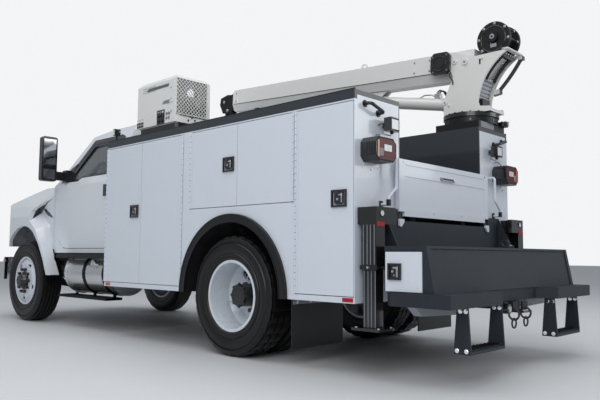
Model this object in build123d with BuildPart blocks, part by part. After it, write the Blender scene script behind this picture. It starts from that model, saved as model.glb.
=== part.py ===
from build123d import *
import math
import os

os.makedirs("parts", exist_ok=True)

# Service crane truck. Millimetres, +X forward, +Y to the driver's side, +Z up.
# The origin is on the ground, under the middle of the overall length and width.
WHEELBASE = 4013
DRAWN_WHEELBASE = 4013
FRONT_OVERHANG = 909
REAR_OVERHANG = 2070
LENGTH = REAR_OVERHANG + WHEELBASE + FRONT_OVERHANG
REAR_AXLE_X = REAR_OVERHANG - LENGTH / 2


def station(ahead):
    """The X of a place that lies so far ahead of the rear axle at the drawn wheelbase.

    A place between the axles keeps its share of the wheelbase, and one ahead of them its distance.
    """
    between = min(max(ahead, 0), DRAWN_WHEELBASE)
    return REAR_AXLE_X + between * WHEELBASE / DRAWN_WHEELBASE + ahead - between


FRONT_AXLE_X = station(DRAWN_WHEELBASE)
SEAT_GAP = 0.3
RUNNING_GAP = 6

# Chassis rails and crossmembers
RAIL_HALF = 430
RAIL_TOP = 990
RAIL_DEPTH = 254
RAIL_BOTTOM = RAIL_TOP - RAIL_DEPTH
RAIL_FLANGE = 76
RAIL_WEB = 8
RAIL_REAR = station(-1318)
DROP_Z = (625, 870)
RAIL_FRONT = station(DRAWN_WHEELBASE + 720)
CROSS_TOP = RAIL_TOP - 20
CROSS_DEPTH = 90
CROSS_WIDTH = 90
CROSS_STATIONS = (-1240, -850, 0, 850, 1750, 4560)

# Wheels and tyres
TYRE_RADIUS = 500
TYRE_WIDTH = 280
BEAD_RADIUS = 286
BEAD_HALF = 105
AXLE_Z = TYRE_RADIUS
FRONT_TYRE_Y = 1015
REAR_TYRE_OUTER_Y = 1045
DUAL_SPACING = 335
REAR_TYRE_INNER_Y = REAR_TYRE_OUTER_Y - DUAL_SPACING
RIM_WALL = 10
RIM_FLANGE_RADIUS = 298
DISC_WALL = 12
HAND_HOLES = 5
HAND_HOLE_RADIUS = 38
HAND_HOLE_CIRCLE = 205
LUGS = 10
LUG_CIRCLE = 142.9
LUG_RADIUS = 19
LUG_LENGTH = 34
FRONT_DISC_OUT = 132
FRONT_HUB_RADIUS = 92
FRONT_HUB_END_Y = 1222
REAR_HUB_RADIUS = 104
REAR_HUB_END_Y = 1092
DRUM_RADIUS = 205
DRUM_LENGTH = 150

# Axles, steering and springs
KINGPIN_Y = 870
KINGPIN_RADIUS = 28
KINGPIN_BOSS_RADIUS = 52
KINGPIN_BOSS_HALF = 65
KNUCKLE_EAR = 30
KNUCKLE_PLATE_Y = 928
KNUCKLE_PLATE_WALL = 24
SPINDLE_RADIUS = 42
FRONT_BEAM_WIDTH = 90
FRONT_BEAM_HEIGHT = 100
FRONT_BEAM_DROP = 60
AXLE_TUBE_RADIUS = 66
AXLE_TUBE_END_Y = 790
AXLE_BOWL_RADIUS = 185
AXLE_BOWL_WIDTH = 210
SPRING_WIDTH = 72
FRONT_SPRING_Y = 392
REAR_SPRING_Y = 486
SPRING_HALF_LENGTH = 640
SPRING_EYE_Z = 690
SPRING_PACK = 62
SPRING_EYE_RADIUS = 28
SPRING_TIP = 14
HUB_DEPTH = 20

# Cab
CAB_REAR = station(2133)
CAB_FRONT = station(3600)
CAB_HALF = 1000
CAB_WAIST_Z = 1650
CAB_ROOF_HALF = 800
CAB_ROOF_EDGE_Z = 2245
CAB_ROOF_Z = 2325
CAB_SILL_Z = 850
CAB_FLOOR_Z = RAIL_TOP + 12
CAB_WALL = 66
CAB_FLOOR_WALL = 60
CAB_PAD_RADIUS = 45
CAB_PAD_IN = 150
COWL_Z = 1690
HEADER_X = station(3010)
DOOR_GAP = 6
QUARTER_REAR = station(3562)
HOOD_SEAM_X = station(3872)
FENDER_HALF = 1180
ARCH_REAR = ((3755, 1097), (3603, 951), (3473, 771), (3366, 584))
ARCH_CROWN = (4063, 1184)
ARCH_NOSE = (4540, 860)
HOOD_WALL = 40
HOOD_BOTTOM_Z = 930
HOOD_FRONT = station(4880)
HOOD_HINGE_X = HOOD_FRONT - 60
# The hood's height at its rear, its middle, its brow and its nose
HOOD_LINE_Z = (1742, 1716, 1640, 1490, 1350)
HOOD_HINGE_Z = 905
# The seam between hood and cab side, from the door's front edge down to the arch (X, Z)
SEAM_LINE = ((station(3562), 1526), (station(3722), 1474), (HOOD_SEAM_X, 1360))
SIDE_PANEL_HALF = 1024
LOBE_BOTTOM = 585
GRILLE_HALF = 470
GRILLE_Z = (985, 1330)
GRILLE_BARS = 6
GRILLE_BAR = 16
LAMP_Y = (560, 800)
LAMP_Z = (1120, 1300)
DOOR_FRONT = station(3550)
DOOR_REAR = station(2268)
DOOR_BOTTOM = 905
BELT_Z = 1738
WINDOW_FRAME = 52
GLASS_IN = (12, 18)
SEAT_X = station(2460)
SEAT_TOP = 1440
DASH_IN = 74
DASH_DEPTH = 330
DASH_Z = (1360, 1600)
MIRROR_X = (station(3290), station(3365))
MIRROR_Y = (1130, 1318)
MIRROR_Z = (1700, 2235)
BUMPER_Z = (500, 790)
BUMPER_END_X = station(4600)
TANK_X = (station(2150), station(3200))
TANK_Y = 800
TANK_Z = 620
TANK_RADIUS = 240
STEP_Z = (790, 838)
LOWER_STEP_Y = (880, 1075)
LOWER_STEP_Z = (338, 366)
STEP_OUT_Y = 1120

# Service body
BODY_FRONT = station(2020)
BODY_REAR = station(-1324)
BODY_HALF = 1180
BODY_BOTTOM = 508
BODY_TOP = 2025
PACK_DEPTH = 550
PACK_INNER_Y = BODY_HALF - PACK_DEPTH
PACK_WALL = 32
PACK_DOOR_WALL = 32
PACK_DOOR_GAP = 6
WHEEL_WELL_RADIUS = 600
WHEEL_WELL_Z = 512
FLARE_RADIUS = 672
FLARE_PROUD = 28
BED_FLOOR_TOP = 1165
BED_FLOOR_WALL = 24
HINGE_RADIUS = 7
LATCH_WIDTH = 140
LATCH_HEIGHT = 125
LATCH_PROUD = 14
LATCH_RIM = 14
DOOR_STOP = 24
MUDFLAP_X = station(-705)
MUDFLAP_Y = (560, 1160)
MUDFLAP_BOTTOM = 130
# Pack doors: name, X from the rear axle, Z, hinged edge, latch centre
PACK_DOORS = (
    ("a", (1372, 2008), (556, 1940), "front", (1475, 1265)),
    ("b", (692, 1366), (556, 1940), "rear", None),
    ("c", (-65, 566), (1250, 1940), "front", (38, 1605)),
    ("d", (-724, -71), (1250, 1940), "rear", None),
    ("e", (-1312, -756), (556, 1940), "front", (-1185, 1248)),
)

# Rear end
GATE_HALF = 698
GATE_TOP = 1575
GATE_BOTTOM = 1140
GATE_WALL = 38
APRON_TOP = 1105
APRON_END_TOP = 1190
APRON_HALF = BODY_HALF - 265
BENCH_TOP = 907
BENCH_DOOR_WALL = 18
VISE_X = (station(-1790), station(-1640))
VISE_Y = 640
VISE_PITCH_Y = 150
VISE_HOLE_RADIUS = 7
BENCH_HALF = BODY_HALF - 31
BENCH_FRONT = station(-1555)
BENCH_REAR_TOP = station(-1874)
BENCH_REAR_LOW = station(-1930)
BENCH_WALL = 25
BENCH_RIM = 9
STEP_BOTTOM = 510
STEP_TOP = 600
STEP_REAR = -LENGTH / 2
STEP_HALF = BODY_HALF - 5
HITCH_RECESS_HALF = 440
HITCH_RECESS_DEPTH = 150
RECEIVER_SIZE = 51
RECEIVER_WALL = 10
BOOT_STEP_Y = (450, 930)
BOOT_STEP_BOTTOM = 210

# Lamps and handles on the packs' rear faces
LAMP_HOUSE_Y = (872, 1115)
LAMP_HOUSE_Z = (1508, 1682)
LAMP_CORNER = 38
LAMP_DEPTH = 136
WORK_LIGHT_Y = (775, 885)
WORK_LIGHT_Z = (1755, 1855)
HANDLE_OUT = (1065, 1935)
HANDLE_IN = (905, 1888)
HANDLE_STAND = 58
HANDLE_RADIUS = 13

# Outriggers
OUTRIGGER_X = (station(-1486), station(-1360))
OUTRIGGER_Y = (BODY_HALF - 132, BODY_HALF - 31)
OUTRIGGER_TOP = 1180
OUTRIGGER_LOW = 745
OUTRIGGER_WALL = 9
FOOT_Z = 330
FOOT_WALL = 18

# Crane
CRANE_X = station(-1100)
CRANE_Y = -905
CRANE_BASE_HEIGHT = 62
SLEW_RADIUS = 262
SLEW_TOP = 2150
PLATE_HALF = 140
PLATE_WALL = 20
COVER_CORNER = 34
VALVE_COIL_RADIUS = 18
VALVE_COILS = ((-1214, 2352), (-1223, 2386), (-1234, 2420), (-1247, 2454), (-1263, 2488), (-1283, 2522))
HOSE_RADIUS = 9
LIFT_PIVOT = (station(-1120), 2700)
BOOM_RISE = 3.2
BOOM_HALF = 100
BOOM_HEIGHT = 275
BOOM_BACK = -75
BOOM_FRONT = 3440
BOOM_UNDER = -150
BOOM_WALL = 10
BOOM_FOLD = 92
BOOM_FOOT_HALF = 66
STAGE_GAP = 6
STAGE_WALL = 10
STAGE_START = 330
STAGE_SHOW = 34
PAD_LENGTH = 120
TIP_WALL = 10
PIVOT_RADIUS = 30
PIVOT_BOSS = 51
CYL_PIN_RADIUS = 22
LUG_GAP_HALF = 34
ROD_LENGTH = 760
WELDER_X = (station(950), station(1600))
WELDER_Y = (675, 1100)
WELDER_Z = (2120, 2590)
CYL_BASE = (station(-900), 2335)
CYL_LUG_ALONG = 1180
CYL_LUG_DROP = 95
CYL_RADIUS = 62
ROD_RADIUS = 34
WINCH_X = station(-1400)
WINCH_Z = 2868
WINCH_RADIUS = 165
WINCH_HALF = 112

TURN = {"x": (0, 90, 0), "y": (90, 0, 0), "z": (0, 0, 0)}


def block(x, y, z, mode=Mode.ADD):
    """A box between two values on each axis."""
    centre = tuple((pair[0] + pair[1]) / 2 for pair in (x, y, z))
    sizes = [abs(pair[1] - pair[0]) for pair in (x, y, z)]
    with Locations(centre):
        Box(*sizes, mode=mode)


def rod(centre, axis, radius, length, mode=Mode.ADD):
    """A cylinder about its centre, along the named axis."""
    with Locations(centre):
        Cylinder(radius, length, rotation=TURN[axis], mode=mode)


def outlined(plane, outline, depth, mode=Mode.ADD):
    """A plate of the given outline, raised from its plane."""
    with BuildSketch(plane) as face:
        with BuildLine():
            Polyline(*outline, close=True)
        make_face()
    extrude(face.sketch, amount=depth, mode=mode)


def side_plate(outline, y, mode=Mode.ADD):
    """An outline in X and Z, carried from one Y to another."""
    outlined(Plane.XZ.offset(-max(y)), outline, abs(y[1] - y[0]), mode)


def cross_plate(outline, x, mode=Mode.ADD):
    """An outline in Y and Z, carried from one X to another."""
    outlined(Plane.YZ.offset(min(x)), outline, abs(x[1] - x[0]), mode)


def floor_plate(outline, z, mode=Mode.ADD):
    """An outline in X and Y, carried from one Z to another."""
    outlined(Plane.XY.offset(min(z)), outline, abs(z[1] - z[0]), mode)


def save(piece, name):
    """Labels a finished piece and writes its STEP file."""
    piece.part.label = name
    export_step(piece.part, f"parts/{name}.step")


def both(values):
    """A (Y, Z) outline of one half, followed by its mirror image."""
    return values + [(-y, z) for y, z in reversed(values)]


# Chassis frame: two channel rails, crossmembers, spring hangers and the front hood pivots
with BuildPart() as chassis_frame:
    for side in (1, -1):
        outer = side * RAIL_HALF
        inner = side * (RAIL_HALF - RAIL_FLANGE)
        web = side * (RAIL_HALF - RAIL_WEB)
        block((RAIL_REAR, RAIL_FRONT), (outer, inner), (RAIL_BOTTOM, RAIL_TOP))
        block((RAIL_REAR - 1, RAIL_FRONT + 1), (web, inner - side),
              (RAIL_BOTTOM + RAIL_WEB, RAIL_TOP - RAIL_WEB), mode=Mode.SUBTRACT)
    for ahead in CROSS_STATIONS:
        block((station(ahead - CROSS_WIDTH / 2), station(ahead + CROSS_WIDTH / 2)),
              (-RAIL_HALF + RAIL_WEB, RAIL_HALF - RAIL_WEB), (CROSS_TOP - CROSS_DEPTH, CROSS_TOP))
    for side in (1, -1):
        # Drop plate back to the bench bumper
        block((RAIL_REAR + 150, BENCH_FRONT + SEAT_GAP), (side * (RAIL_HALF - 5), side * (RAIL_HALF + 12)), DROP_Z)
        # Rear spring hangers stand outside the rail, front ones hang below it
        for sign in (1, -1):
            eye_x = REAR_AXLE_X + sign * SPRING_HALF_LENGTH
            block((eye_x - 50, eye_x + 50), (side * RAIL_HALF, side * (REAR_SPRING_Y + 46)),
                  (SPRING_EYE_Z + SPRING_EYE_RADIUS + 8, RAIL_TOP - 60))
            eye_x = FRONT_AXLE_X + sign * SPRING_HALF_LENGTH
            block((eye_x - 45, eye_x + 45), (side * (RAIL_HALF - RAIL_FLANGE), side * RAIL_HALF),
                  (SPRING_EYE_Z + SPRING_EYE_RADIUS + SEAT_GAP, RAIL_BOTTOM))
        # Hood pivot ears at the rail's front end
        ear = [(RAIL_FRONT - 120, RAIL_TOP - 90), (RAIL_FRONT - 120, RAIL_TOP - 20),
               (HOOD_HINGE_X - 20, HOOD_HINGE_Z + 26), (HOOD_HINGE_X + 22, HOOD_HINGE_Z + 10),
               (HOOD_HINGE_X + 22, HOOD_HINGE_Z - 24)]
        side_plate(ear, (side * RAIL_HALF, side * (RAIL_HALF - 16)))
        rod((HOOD_HINGE_X, side * (RAIL_HALF + 25), HOOD_HINGE_Z), "y", 12, 52)
save(chassis_frame, "chassis_frame")

# Powertrain: one plain engine block with its gearbox, the propeller shaft and the exhaust
ENGINE_X = (station(3625), station(4400))
ENGINE_Z = (720, 1360)
ENGINE_HALF = 280
GEARBOX_X = (station(2560), ENGINE_X[0])
SHAFT_RADIUS = 45
EXHAUST_RADIUS = 45
MUFFLER_RADIUS = 90
MUFFLER_Y = -265
MUFFLER_Z = 800
with BuildPart() as powertrain:
    block(ENGINE_X, (-ENGINE_HALF, ENGINE_HALF), ENGINE_Z)
    block(GEARBOX_X, (-160, 160), (ENGINE_Z[0], RAIL_TOP - 20))
    shaft_end = (station(AXLE_BOWL_RADIUS + 20) + SEAT_GAP, AXLE_Z + 30)
    shaft_start = (GEARBOX_X[0] + 5, ENGINE_Z[0] + 90)
    half = SHAFT_RADIUS
    side_plate([(shaft_end[0], shaft_end[1] - half), (shaft_end[0], shaft_end[1] + half),
                (shaft_start[0], shaft_start[1] + half), (shaft_start[0], shaft_start[1] - half)],
               (-half, half))
    web_in = RAIL_HALF - RAIL_WEB - SEAT_GAP
    block((GEARBOX_X[0] + 200, GEARBOX_X[0] + 260), (-web_in, web_in), (ENGINE_Z[0] + 30, ENGINE_Z[0] + 90))
    block((ENGINE_X[0] + 300, ENGINE_X[0] + 380), (-web_in, web_in), (ENGINE_Z[0] + 60, ENGINE_Z[0] + 130))
    # Muffler on its hanger, with the pipe that comes back from the engine
    muffler_x = (station(1050), station(1700))
    rod((sum(muffler_x) / 2, MUFFLER_Y, MUFFLER_Z), "x", MUFFLER_RADIUS, muffler_x[1] - muffler_x[0])
    rod(((muffler_x[1] + ENGINE_X[0]) / 2, MUFFLER_Y, MUFFLER_Z), "x", EXHAUST_RADIUS,
        ENGINE_X[0] - muffler_x[1] + 20)
    block((muffler_x[0] + 300, muffler_x[0] + 340), (-web_in, MUFFLER_Y - MUFFLER_RADIUS + 20),
          (MUFFLER_Z - 15, MUFFLER_Z + 15))
save(powertrain, "powertrain")

# Axles with their leaf springs
with BuildPart() as axles:
    # Front I-beam, dropped in the middle, with kingpin bosses at its ends
    beam_end = (AXLE_Z - FRONT_BEAM_HEIGHT / 2, AXLE_Z + FRONT_BEAM_HEIGHT / 2)
    beam_mid = (beam_end[0] - FRONT_BEAM_DROP, beam_end[1] - FRONT_BEAM_DROP)
    bend = FRONT_SPRING_Y + SPRING_WIDTH
    beam = [(-KINGPIN_Y, beam_end[0]), (-KINGPIN_Y, beam_end[1]), (110 - KINGPIN_Y, beam_end[1]),
            (-bend, beam_mid[1]), (bend, beam_mid[1]), (KINGPIN_Y - 110, beam_end[1]),
            (KINGPIN_Y, beam_end[1]), (KINGPIN_Y, beam_end[0]), (KINGPIN_Y - 90, beam_end[0]),
            (bend, beam_mid[0]), (-bend, beam_mid[0]), (90 - KINGPIN_Y, beam_end[0])]
    cross_plate(beam, (FRONT_AXLE_X - FRONT_BEAM_WIDTH / 2, FRONT_AXLE_X + FRONT_BEAM_WIDTH / 2))
    for side in (1, -1):
        kingpin = (FRONT_AXLE_X, side * KINGPIN_Y, AXLE_Z)
        rod(kingpin, "z", KINGPIN_BOSS_RADIUS, 2 * KINGPIN_BOSS_HALF)
        rod(kingpin, "z", KINGPIN_RADIUS + SEAT_GAP, 2 * KINGPIN_BOSS_HALF + 4, mode=Mode.SUBTRACT)
    # Rear housing: banjo bowl, pinion nose and tubes
    rod((REAR_AXLE_X, 0, AXLE_Z), "y", AXLE_BOWL_RADIUS, AXLE_BOWL_WIDTH)
    rod((REAR_AXLE_X + AXLE_BOWL_RADIUS / 2, 0, AXLE_Z), "x", 95, AXLE_BOWL_RADIUS + 40)
    rod((REAR_AXLE_X, 0, AXLE_Z), "y", AXLE_TUBE_RADIUS, 2 * AXLE_TUBE_END_Y)
    # Leaf packs: thick in the middle, curling up to an eye at each end
    for middle_x, spring_y, seat_z in ((FRONT_AXLE_X, FRONT_SPRING_Y, beam_mid[1]),
                                       (REAR_AXLE_X, REAR_SPRING_Y, AXLE_Z + AXLE_TUBE_RADIUS)):
        for side in (1, -1):
            middle_y = side * spring_y
            ends = (middle_x - SPRING_HALF_LENGTH, middle_x + SPRING_HALF_LENGTH)
            clamp_y = (middle_y - SPRING_WIDTH / 2 - 6, middle_y + SPRING_WIDTH / 2 + 6)
            with BuildSketch(Plane.XZ.offset(-middle_y - SPRING_WIDTH / 2)):
                with BuildLine():
                    ThreePointArc((ends[0], SPRING_EYE_Z), (middle_x, seat_z + SPRING_PACK),
                                  (ends[1], SPRING_EYE_Z))
                    Line((ends[1], SPRING_EYE_Z), (ends[1], SPRING_EYE_Z - SPRING_TIP))
                    ThreePointArc((ends[1], SPRING_EYE_Z - SPRING_TIP), (middle_x, seat_z),
                                  (ends[0], SPRING_EYE_Z - SPRING_TIP))
                    Line((ends[0], SPRING_EYE_Z - SPRING_TIP), (ends[0], SPRING_EYE_Z))
                make_face()
            extrude(amount=SPRING_WIDTH)
            for end in ends:
                rod((end, middle_y, SPRING_EYE_Z), "y", SPRING_EYE_RADIUS, SPRING_WIDTH)
            block((middle_x - 70, middle_x + 70), clamp_y, (seat_z - 16, seat_z + 8))
            block((middle_x - 70, middle_x + 70), clamp_y,
                  (seat_z + SPRING_PACK - 6, seat_z + SPRING_PACK + 16))
save(axles, "axles")

# Steering knuckles, one to a side, turning about their kingpins
for side, hand in ((1, "left"), (-1, "right")):
    with BuildPart() as knuckle:
        ear_low = AXLE_Z - KINGPIN_BOSS_HALF - SEAT_GAP
        ear_high = AXLE_Z + KINGPIN_BOSS_HALF + SEAT_GAP
        kingpin_y = side * KINGPIN_Y
        plate_y = side * KNUCKLE_PLATE_Y
        plate_out = side * (KNUCKLE_PLATE_Y + KNUCKLE_PLATE_WALL)
        rod((FRONT_AXLE_X, kingpin_y, AXLE_Z), "z", KINGPIN_RADIUS,
            2 * (KINGPIN_BOSS_HALF + SEAT_GAP + KNUCKLE_EAR))
        for ear in ((ear_low - KNUCKLE_EAR, ear_low), (ear_high, ear_high + KNUCKLE_EAR)):
            rod((FRONT_AXLE_X, kingpin_y, sum(ear) / 2), "z", KINGPIN_BOSS_RADIUS, KNUCKLE_EAR)
            block((FRONT_AXLE_X - KINGPIN_BOSS_RADIUS, FRONT_AXLE_X + KINGPIN_BOSS_RADIUS),
                  (kingpin_y, plate_out), ear)
        block((FRONT_AXLE_X - 70, FRONT_AXLE_X + 70), (plate_y, plate_out),
              (ear_low - KNUCKLE_EAR, ear_high + KNUCKLE_EAR))
        spindle = (KNUCKLE_PLATE_Y, FRONT_TYRE_Y + FRONT_DISC_OUT + HUB_DEPTH)
        rod((FRONT_AXLE_X, side * sum(spindle) / 2, AXLE_Z), "y", SPINDLE_RADIUS,
            spindle[1] - spindle[0])
        # Steering arm, back from the lower ear
        block((FRONT_AXLE_X - 210, FRONT_AXLE_X), (kingpin_y - side * 40, kingpin_y),
              (ear_low - KNUCKLE_EAR, ear_low - 6))
    save(knuckle, f"knuckle_{hand}")


def spun(x, y, profile, mode=Mode.ADD):
    """A ring turned about the wheel's axle, from (outward, radius) points."""
    with BuildSketch(Plane(origin=(x, y, AXLE_Z), x_dir=(0, 1, 0), z_dir=(1, 0, 0))) as section:
        with BuildLine():
            Polyline(*profile, close=True)
        make_face()
    revolve(section.sketch, axis=Axis((x, y, AXLE_Z), (0, 1, 0)), mode=mode)


def tyre_profile():
    """A truck tyre's section, from bead to tread and back."""
    half = TYRE_WIDTH / 2
    points = [(BEAD_HALF, BEAD_RADIUS), (half, 392), (half - 7, 462), (half - 34, TYRE_RADIUS)]
    return points + [(-out, radius) for out, radius in reversed(points)]


def wheel_disc(x, y, side, disc_out):
    """A steel disc wheel: flanged barrel, dished disc and its ring of round hand holes."""
    outer = BEAD_RADIUS - SEAT_GAP
    inner = outer - RIM_WALL
    flange = (BEAD_HALF + 6, BEAD_HALF + 18)
    way = math.copysign(1, disc_out)
    reach = abs(disc_out)
    barrel = [(-flange[1], inner), (-flange[1], RIM_FLANGE_RADIUS), (-flange[0], RIM_FLANGE_RADIUS),
              (-flange[0], outer), (flange[0], outer), (flange[0], RIM_FLANGE_RADIUS),
              (flange[1], RIM_FLANGE_RADIUS), (flange[1], inner)]
    root = min(flange[0], reach - 40)
    disc = [(root - 2 * DISC_WALL, inner + 4), (root, inner + 4), (reach, LUG_CIRCLE + 84),
            (reach, LUG_CIRCLE), (reach - DISC_WALL, LUG_CIRCLE), (reach - DISC_WALL, LUG_CIRCLE + 78)]
    spun(x, y, barrel)
    spun(x, y, [(side * way * out, radius) for out, radius in disc])
    face = Plane(origin=(x, y + side * way * (reach - 30), AXLE_Z), x_dir=(1, 0, 0), z_dir=(0, 1, 0))
    with BuildSketch(face) as holes:
        with PolarLocations(HAND_HOLE_CIRCLE, HAND_HOLES, start_angle=18):
            Circle(HAND_HOLE_RADIUS)
    extrude(holes.sketch, amount=60, both=True, mode=Mode.SUBTRACT)


def lug_ring(x, face_y, side):
    """The ring of hexagonal wheel nuts that stands out from the disc."""
    plane = Plane(origin=(x, face_y, AXLE_Z), x_dir=(1, 0, 0), z_dir=(0, side, 0))
    with BuildSketch(plane) as nuts:
        with PolarLocations(LUG_CIRCLE, LUGS):
            RegularPolygon(LUG_RADIUS, 6)
    extrude(nuts.sketch, amount=LUG_LENGTH)


for side, hand in ((1, "left"), (-1, "right")):
    # Front wheel: one tyre on a disc that dishes outwards
    with BuildPart() as tyre:
        spun(FRONT_AXLE_X, side * FRONT_TYRE_Y, tyre_profile())
    save(tyre, f"front_tyre_{hand}")
    with BuildPart() as rim:
        wheel_disc(FRONT_AXLE_X, side * FRONT_TYRE_Y, side, FRONT_DISC_OUT)
        face = FRONT_TYRE_Y + FRONT_DISC_OUT
        drum = face - DISC_WALL - DRUM_LENGTH
        bore = SPINDLE_RADIUS + SEAT_GAP
        # Hub, open behind for the spindle, with the brake drum on its back
        hub = [(face - DISC_WALL, DRUM_RADIUS), (drum, DRUM_RADIUS), (drum, bore),
               (face + HUB_DEPTH + SEAT_GAP, bore), (face + HUB_DEPTH + SEAT_GAP, 0),
               (FRONT_HUB_END_Y, 0), (FRONT_HUB_END_Y, 62), (FRONT_HUB_END_Y - 22, 78),
               (face + HUB_DEPTH + 4, FRONT_HUB_RADIUS), (face, FRONT_HUB_RADIUS + 8),
               (face, LUG_CIRCLE + 2), (face - DISC_WALL, LUG_CIRCLE + 2)]
        spun(FRONT_AXLE_X, 0, [(side * out, radius) for out, radius in hub])
        lug_ring(FRONT_AXLE_X, side * face, side)
    save(rim, f"front_rim_{hand}")
    # Rear pair: two tyres on discs bolted back to back, which leaves the outer one deep
    with BuildPart() as tyre:
        for middle in (REAR_TYRE_OUTER_Y, REAR_TYRE_INNER_Y):
            spun(REAR_AXLE_X, side * middle, tyre_profile())
    save(tyre, f"rear_tyres_{hand}")
    with BuildPart() as rim:
        wheel_disc(REAR_AXLE_X, side * REAR_TYRE_OUTER_Y, side, -DUAL_SPACING / 2)
        wheel_disc(REAR_AXLE_X, side * REAR_TYRE_INNER_Y, side, DUAL_SPACING / 2)
        face = REAR_TYRE_OUTER_Y - DUAL_SPACING / 2 + DISC_WALL
        back = face - 2 * DISC_WALL
        bore = AXLE_TUBE_RADIUS + SEAT_GAP
        tube_end = AXLE_TUBE_END_Y + SEAT_GAP
        hub = [(back, DRUM_RADIUS), (back - DRUM_LENGTH, DRUM_RADIUS), (back - DRUM_LENGTH, bore),
               (tube_end, bore), (tube_end, 0), (REAR_HUB_END_Y, 0), (REAR_HUB_END_Y, 84),
               (REAR_HUB_END_Y - 16, 84), (REAR_HUB_END_Y - 16, REAR_HUB_RADIUS - 8),
               (face + 30, REAR_HUB_RADIUS - 8), (face + 22, REAR_HUB_RADIUS),
               (face, REAR_HUB_RADIUS), (face, LUG_CIRCLE + 2), (back, LUG_CIRCLE + 2)]
        spun(REAR_AXLE_X, 0, [(side * out, radius) for out, radius in hub])
        lug_ring(REAR_AXLE_X, side * face, side)
    save(rim, f"rear_rims_{hand}")


def cab_side(inset, bottom):
    """The cab's outline from the side, drawn in from the skin by an inset."""
    return [(CAB_REAR + inset, bottom), (CAB_REAR + inset, CAB_ROOF_EDGE_Z - inset),
            (CAB_REAR + 90 + inset, CAB_ROOF_Z - inset),
            (HEADER_X - 260 - inset / 2, CAB_ROOF_Z - inset),
            (HEADER_X - inset / 2, CAB_ROOF_Z - 62 - inset),
            (CAB_FRONT - 50 - inset, COWL_Z + 20 - inset / 2),
            (CAB_FRONT - inset, COWL_Z - 10 - inset / 2), (CAB_FRONT - inset, bottom)]


def cab_section(inset, bottom):
    """The cab's outline from behind, drawn in from the skin by an inset."""
    return both([(CAB_HALF - inset, bottom), (CAB_HALF - inset, CAB_WAIST_Z),
                 (CAB_ROOF_HALF - inset, CAB_ROOF_EDGE_Z - inset / 2),
                 (CAB_ROOF_HALF - 110 - inset, CAB_ROOF_Z - inset)])


def cab_form(inset, bottom):
    """The solid cab inside a given inset, standing on a given level."""
    with BuildPart() as form:
        side_plate(cab_side(inset, bottom), (-CAB_HALF - 10, CAB_HALF + 10))
        cross_plate(cab_section(inset, bottom), (CAB_REAR - 10, CAB_FRONT + 10), mode=Mode.INTERSECT)
    return form.part


def drawn(plane, outline, spread, depth):
    """A closed cutter: an outline in a plane, spread outwards and carried by a depth."""
    with BuildPart() as cutter:
        with BuildSketch(plane):
            with BuildLine():
                Polyline(*outline, close=True)
            make_face()
            if spread:
                offset(amount=spread, kind=Kind.INTERSECTION)
        extrude(amount=depth)
    return cutter.part


door_outline = [(DOOR_REAR, DOOR_BOTTOM + 60), (DOOR_REAR, CAB_ROOF_EDGE_Z - 88),
                (DOOR_REAR + 40, CAB_ROOF_EDGE_Z - 48), (HEADER_X - 45, CAB_ROOF_EDGE_Z - 48),
                (station(3370), BELT_Z), (DOOR_FRONT, COWL_Z - 30), (DOOR_FRONT, 1180),
                (station(3480), 1040), (station(3330), DOOR_BOTTOM + 12),
                (station(3240), DOOR_BOTTOM), (DOOR_REAR + 60, DOOR_BOTTOM)]
window_outline = [(DOOR_REAR + WINDOW_FRAME, BELT_Z + 6),
                  (DOOR_REAR + WINDOW_FRAME, CAB_ROOF_EDGE_Z - 48 - WINDOW_FRAME),
                  (HEADER_X - 75, CAB_ROOF_EDGE_Z - 48 - WINDOW_FRAME), (station(3275), BELT_Z + 40),
                  (station(3235), BELT_Z - 26), (station(3040), BELT_Z - 26), (station(2960), BELT_Z + 6)]
windshield = both([(CAB_ROOF_HALF + 40, COWL_Z + 66), (CAB_ROOF_HALF - 50, CAB_ROOF_EDGE_Z - 30)])
rear_window = both([(620, 1760), (560, 2110)])
BAND_Y = (CAB_ROOF_HALF - 140, CAB_HALF + 40)


def side_cutter(outline, spread, side):
    """A cutter through one flank of the cab."""
    start = max(side * BAND_Y[0], side * BAND_Y[1])
    return drawn(Plane.XZ.offset(-start), outline, spread, BAND_Y[1] - BAND_Y[0])


def front_cutter(spread):
    """A cutter through the windscreen."""
    return drawn(Plane.YZ.offset(HEADER_X - 260), windshield, spread, CAB_FRONT - HEADER_X + 300)


def rear_cutter(spread):
    """A cutter through the cab's back wall."""
    return drawn(Plane.YZ.offset(CAB_REAR - 20), rear_window, spread, CAB_WALL + 60)


# Side outlines of the flare's rear half: at the cab's side, and at the fender's outer face
FLARE_SECTIONS = (
    (SIDE_PANEL_HALF - 4, [(HOOD_SEAM_X, LOBE_BOTTOM), (HOOD_SEAM_X, 1355), (station(3640), 1205),
                           (station(3572), 940), (station(3495), 800), (station(3352), LOBE_BOTTOM)]),
    (FENDER_HALF, [(HOOD_SEAM_X, LOBE_BOTTOM), (HOOD_SEAM_X, 1245), (station(3700), 1130),
                   (station(3570), 975), (station(3440), 780), (station(3318), LOBE_BOTTOM)]))


def arch_cutter(side):
    """A cutter in the outline of one front wheel's arch."""
    with BuildPart() as cutter:
        with BuildSketch(Plane.XZ.offset(-max(side * (CAB_HALF - 220), side * (FENDER_HALF + 20)))):
            with BuildLine():
                rear = [(station(px), pz) for px, pz in ARCH_REAR]
                nose = (station(ARCH_NOSE[0]), ARCH_NOSE[1])
                ThreePointArc(rear[0], (station(ARCH_CROWN[0]), ARCH_CROWN[1]), nose)
                Polyline(nose, (nose[0], -200), (rear[-1][0], -200), *reversed(rear))
            make_face()
        extrude(amount=FENDER_HALF + 20 - (CAB_HALF - 220))
    return cutter.part


cab_outer = cab_form(0, CAB_SILL_Z)
cab_inner = cab_form(CAB_WALL, CAB_FLOOR_Z + CAB_FLOOR_WALL)
cab_band = cab_outer - cab_form(CAB_WALL, CAB_SILL_Z - 20)

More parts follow.
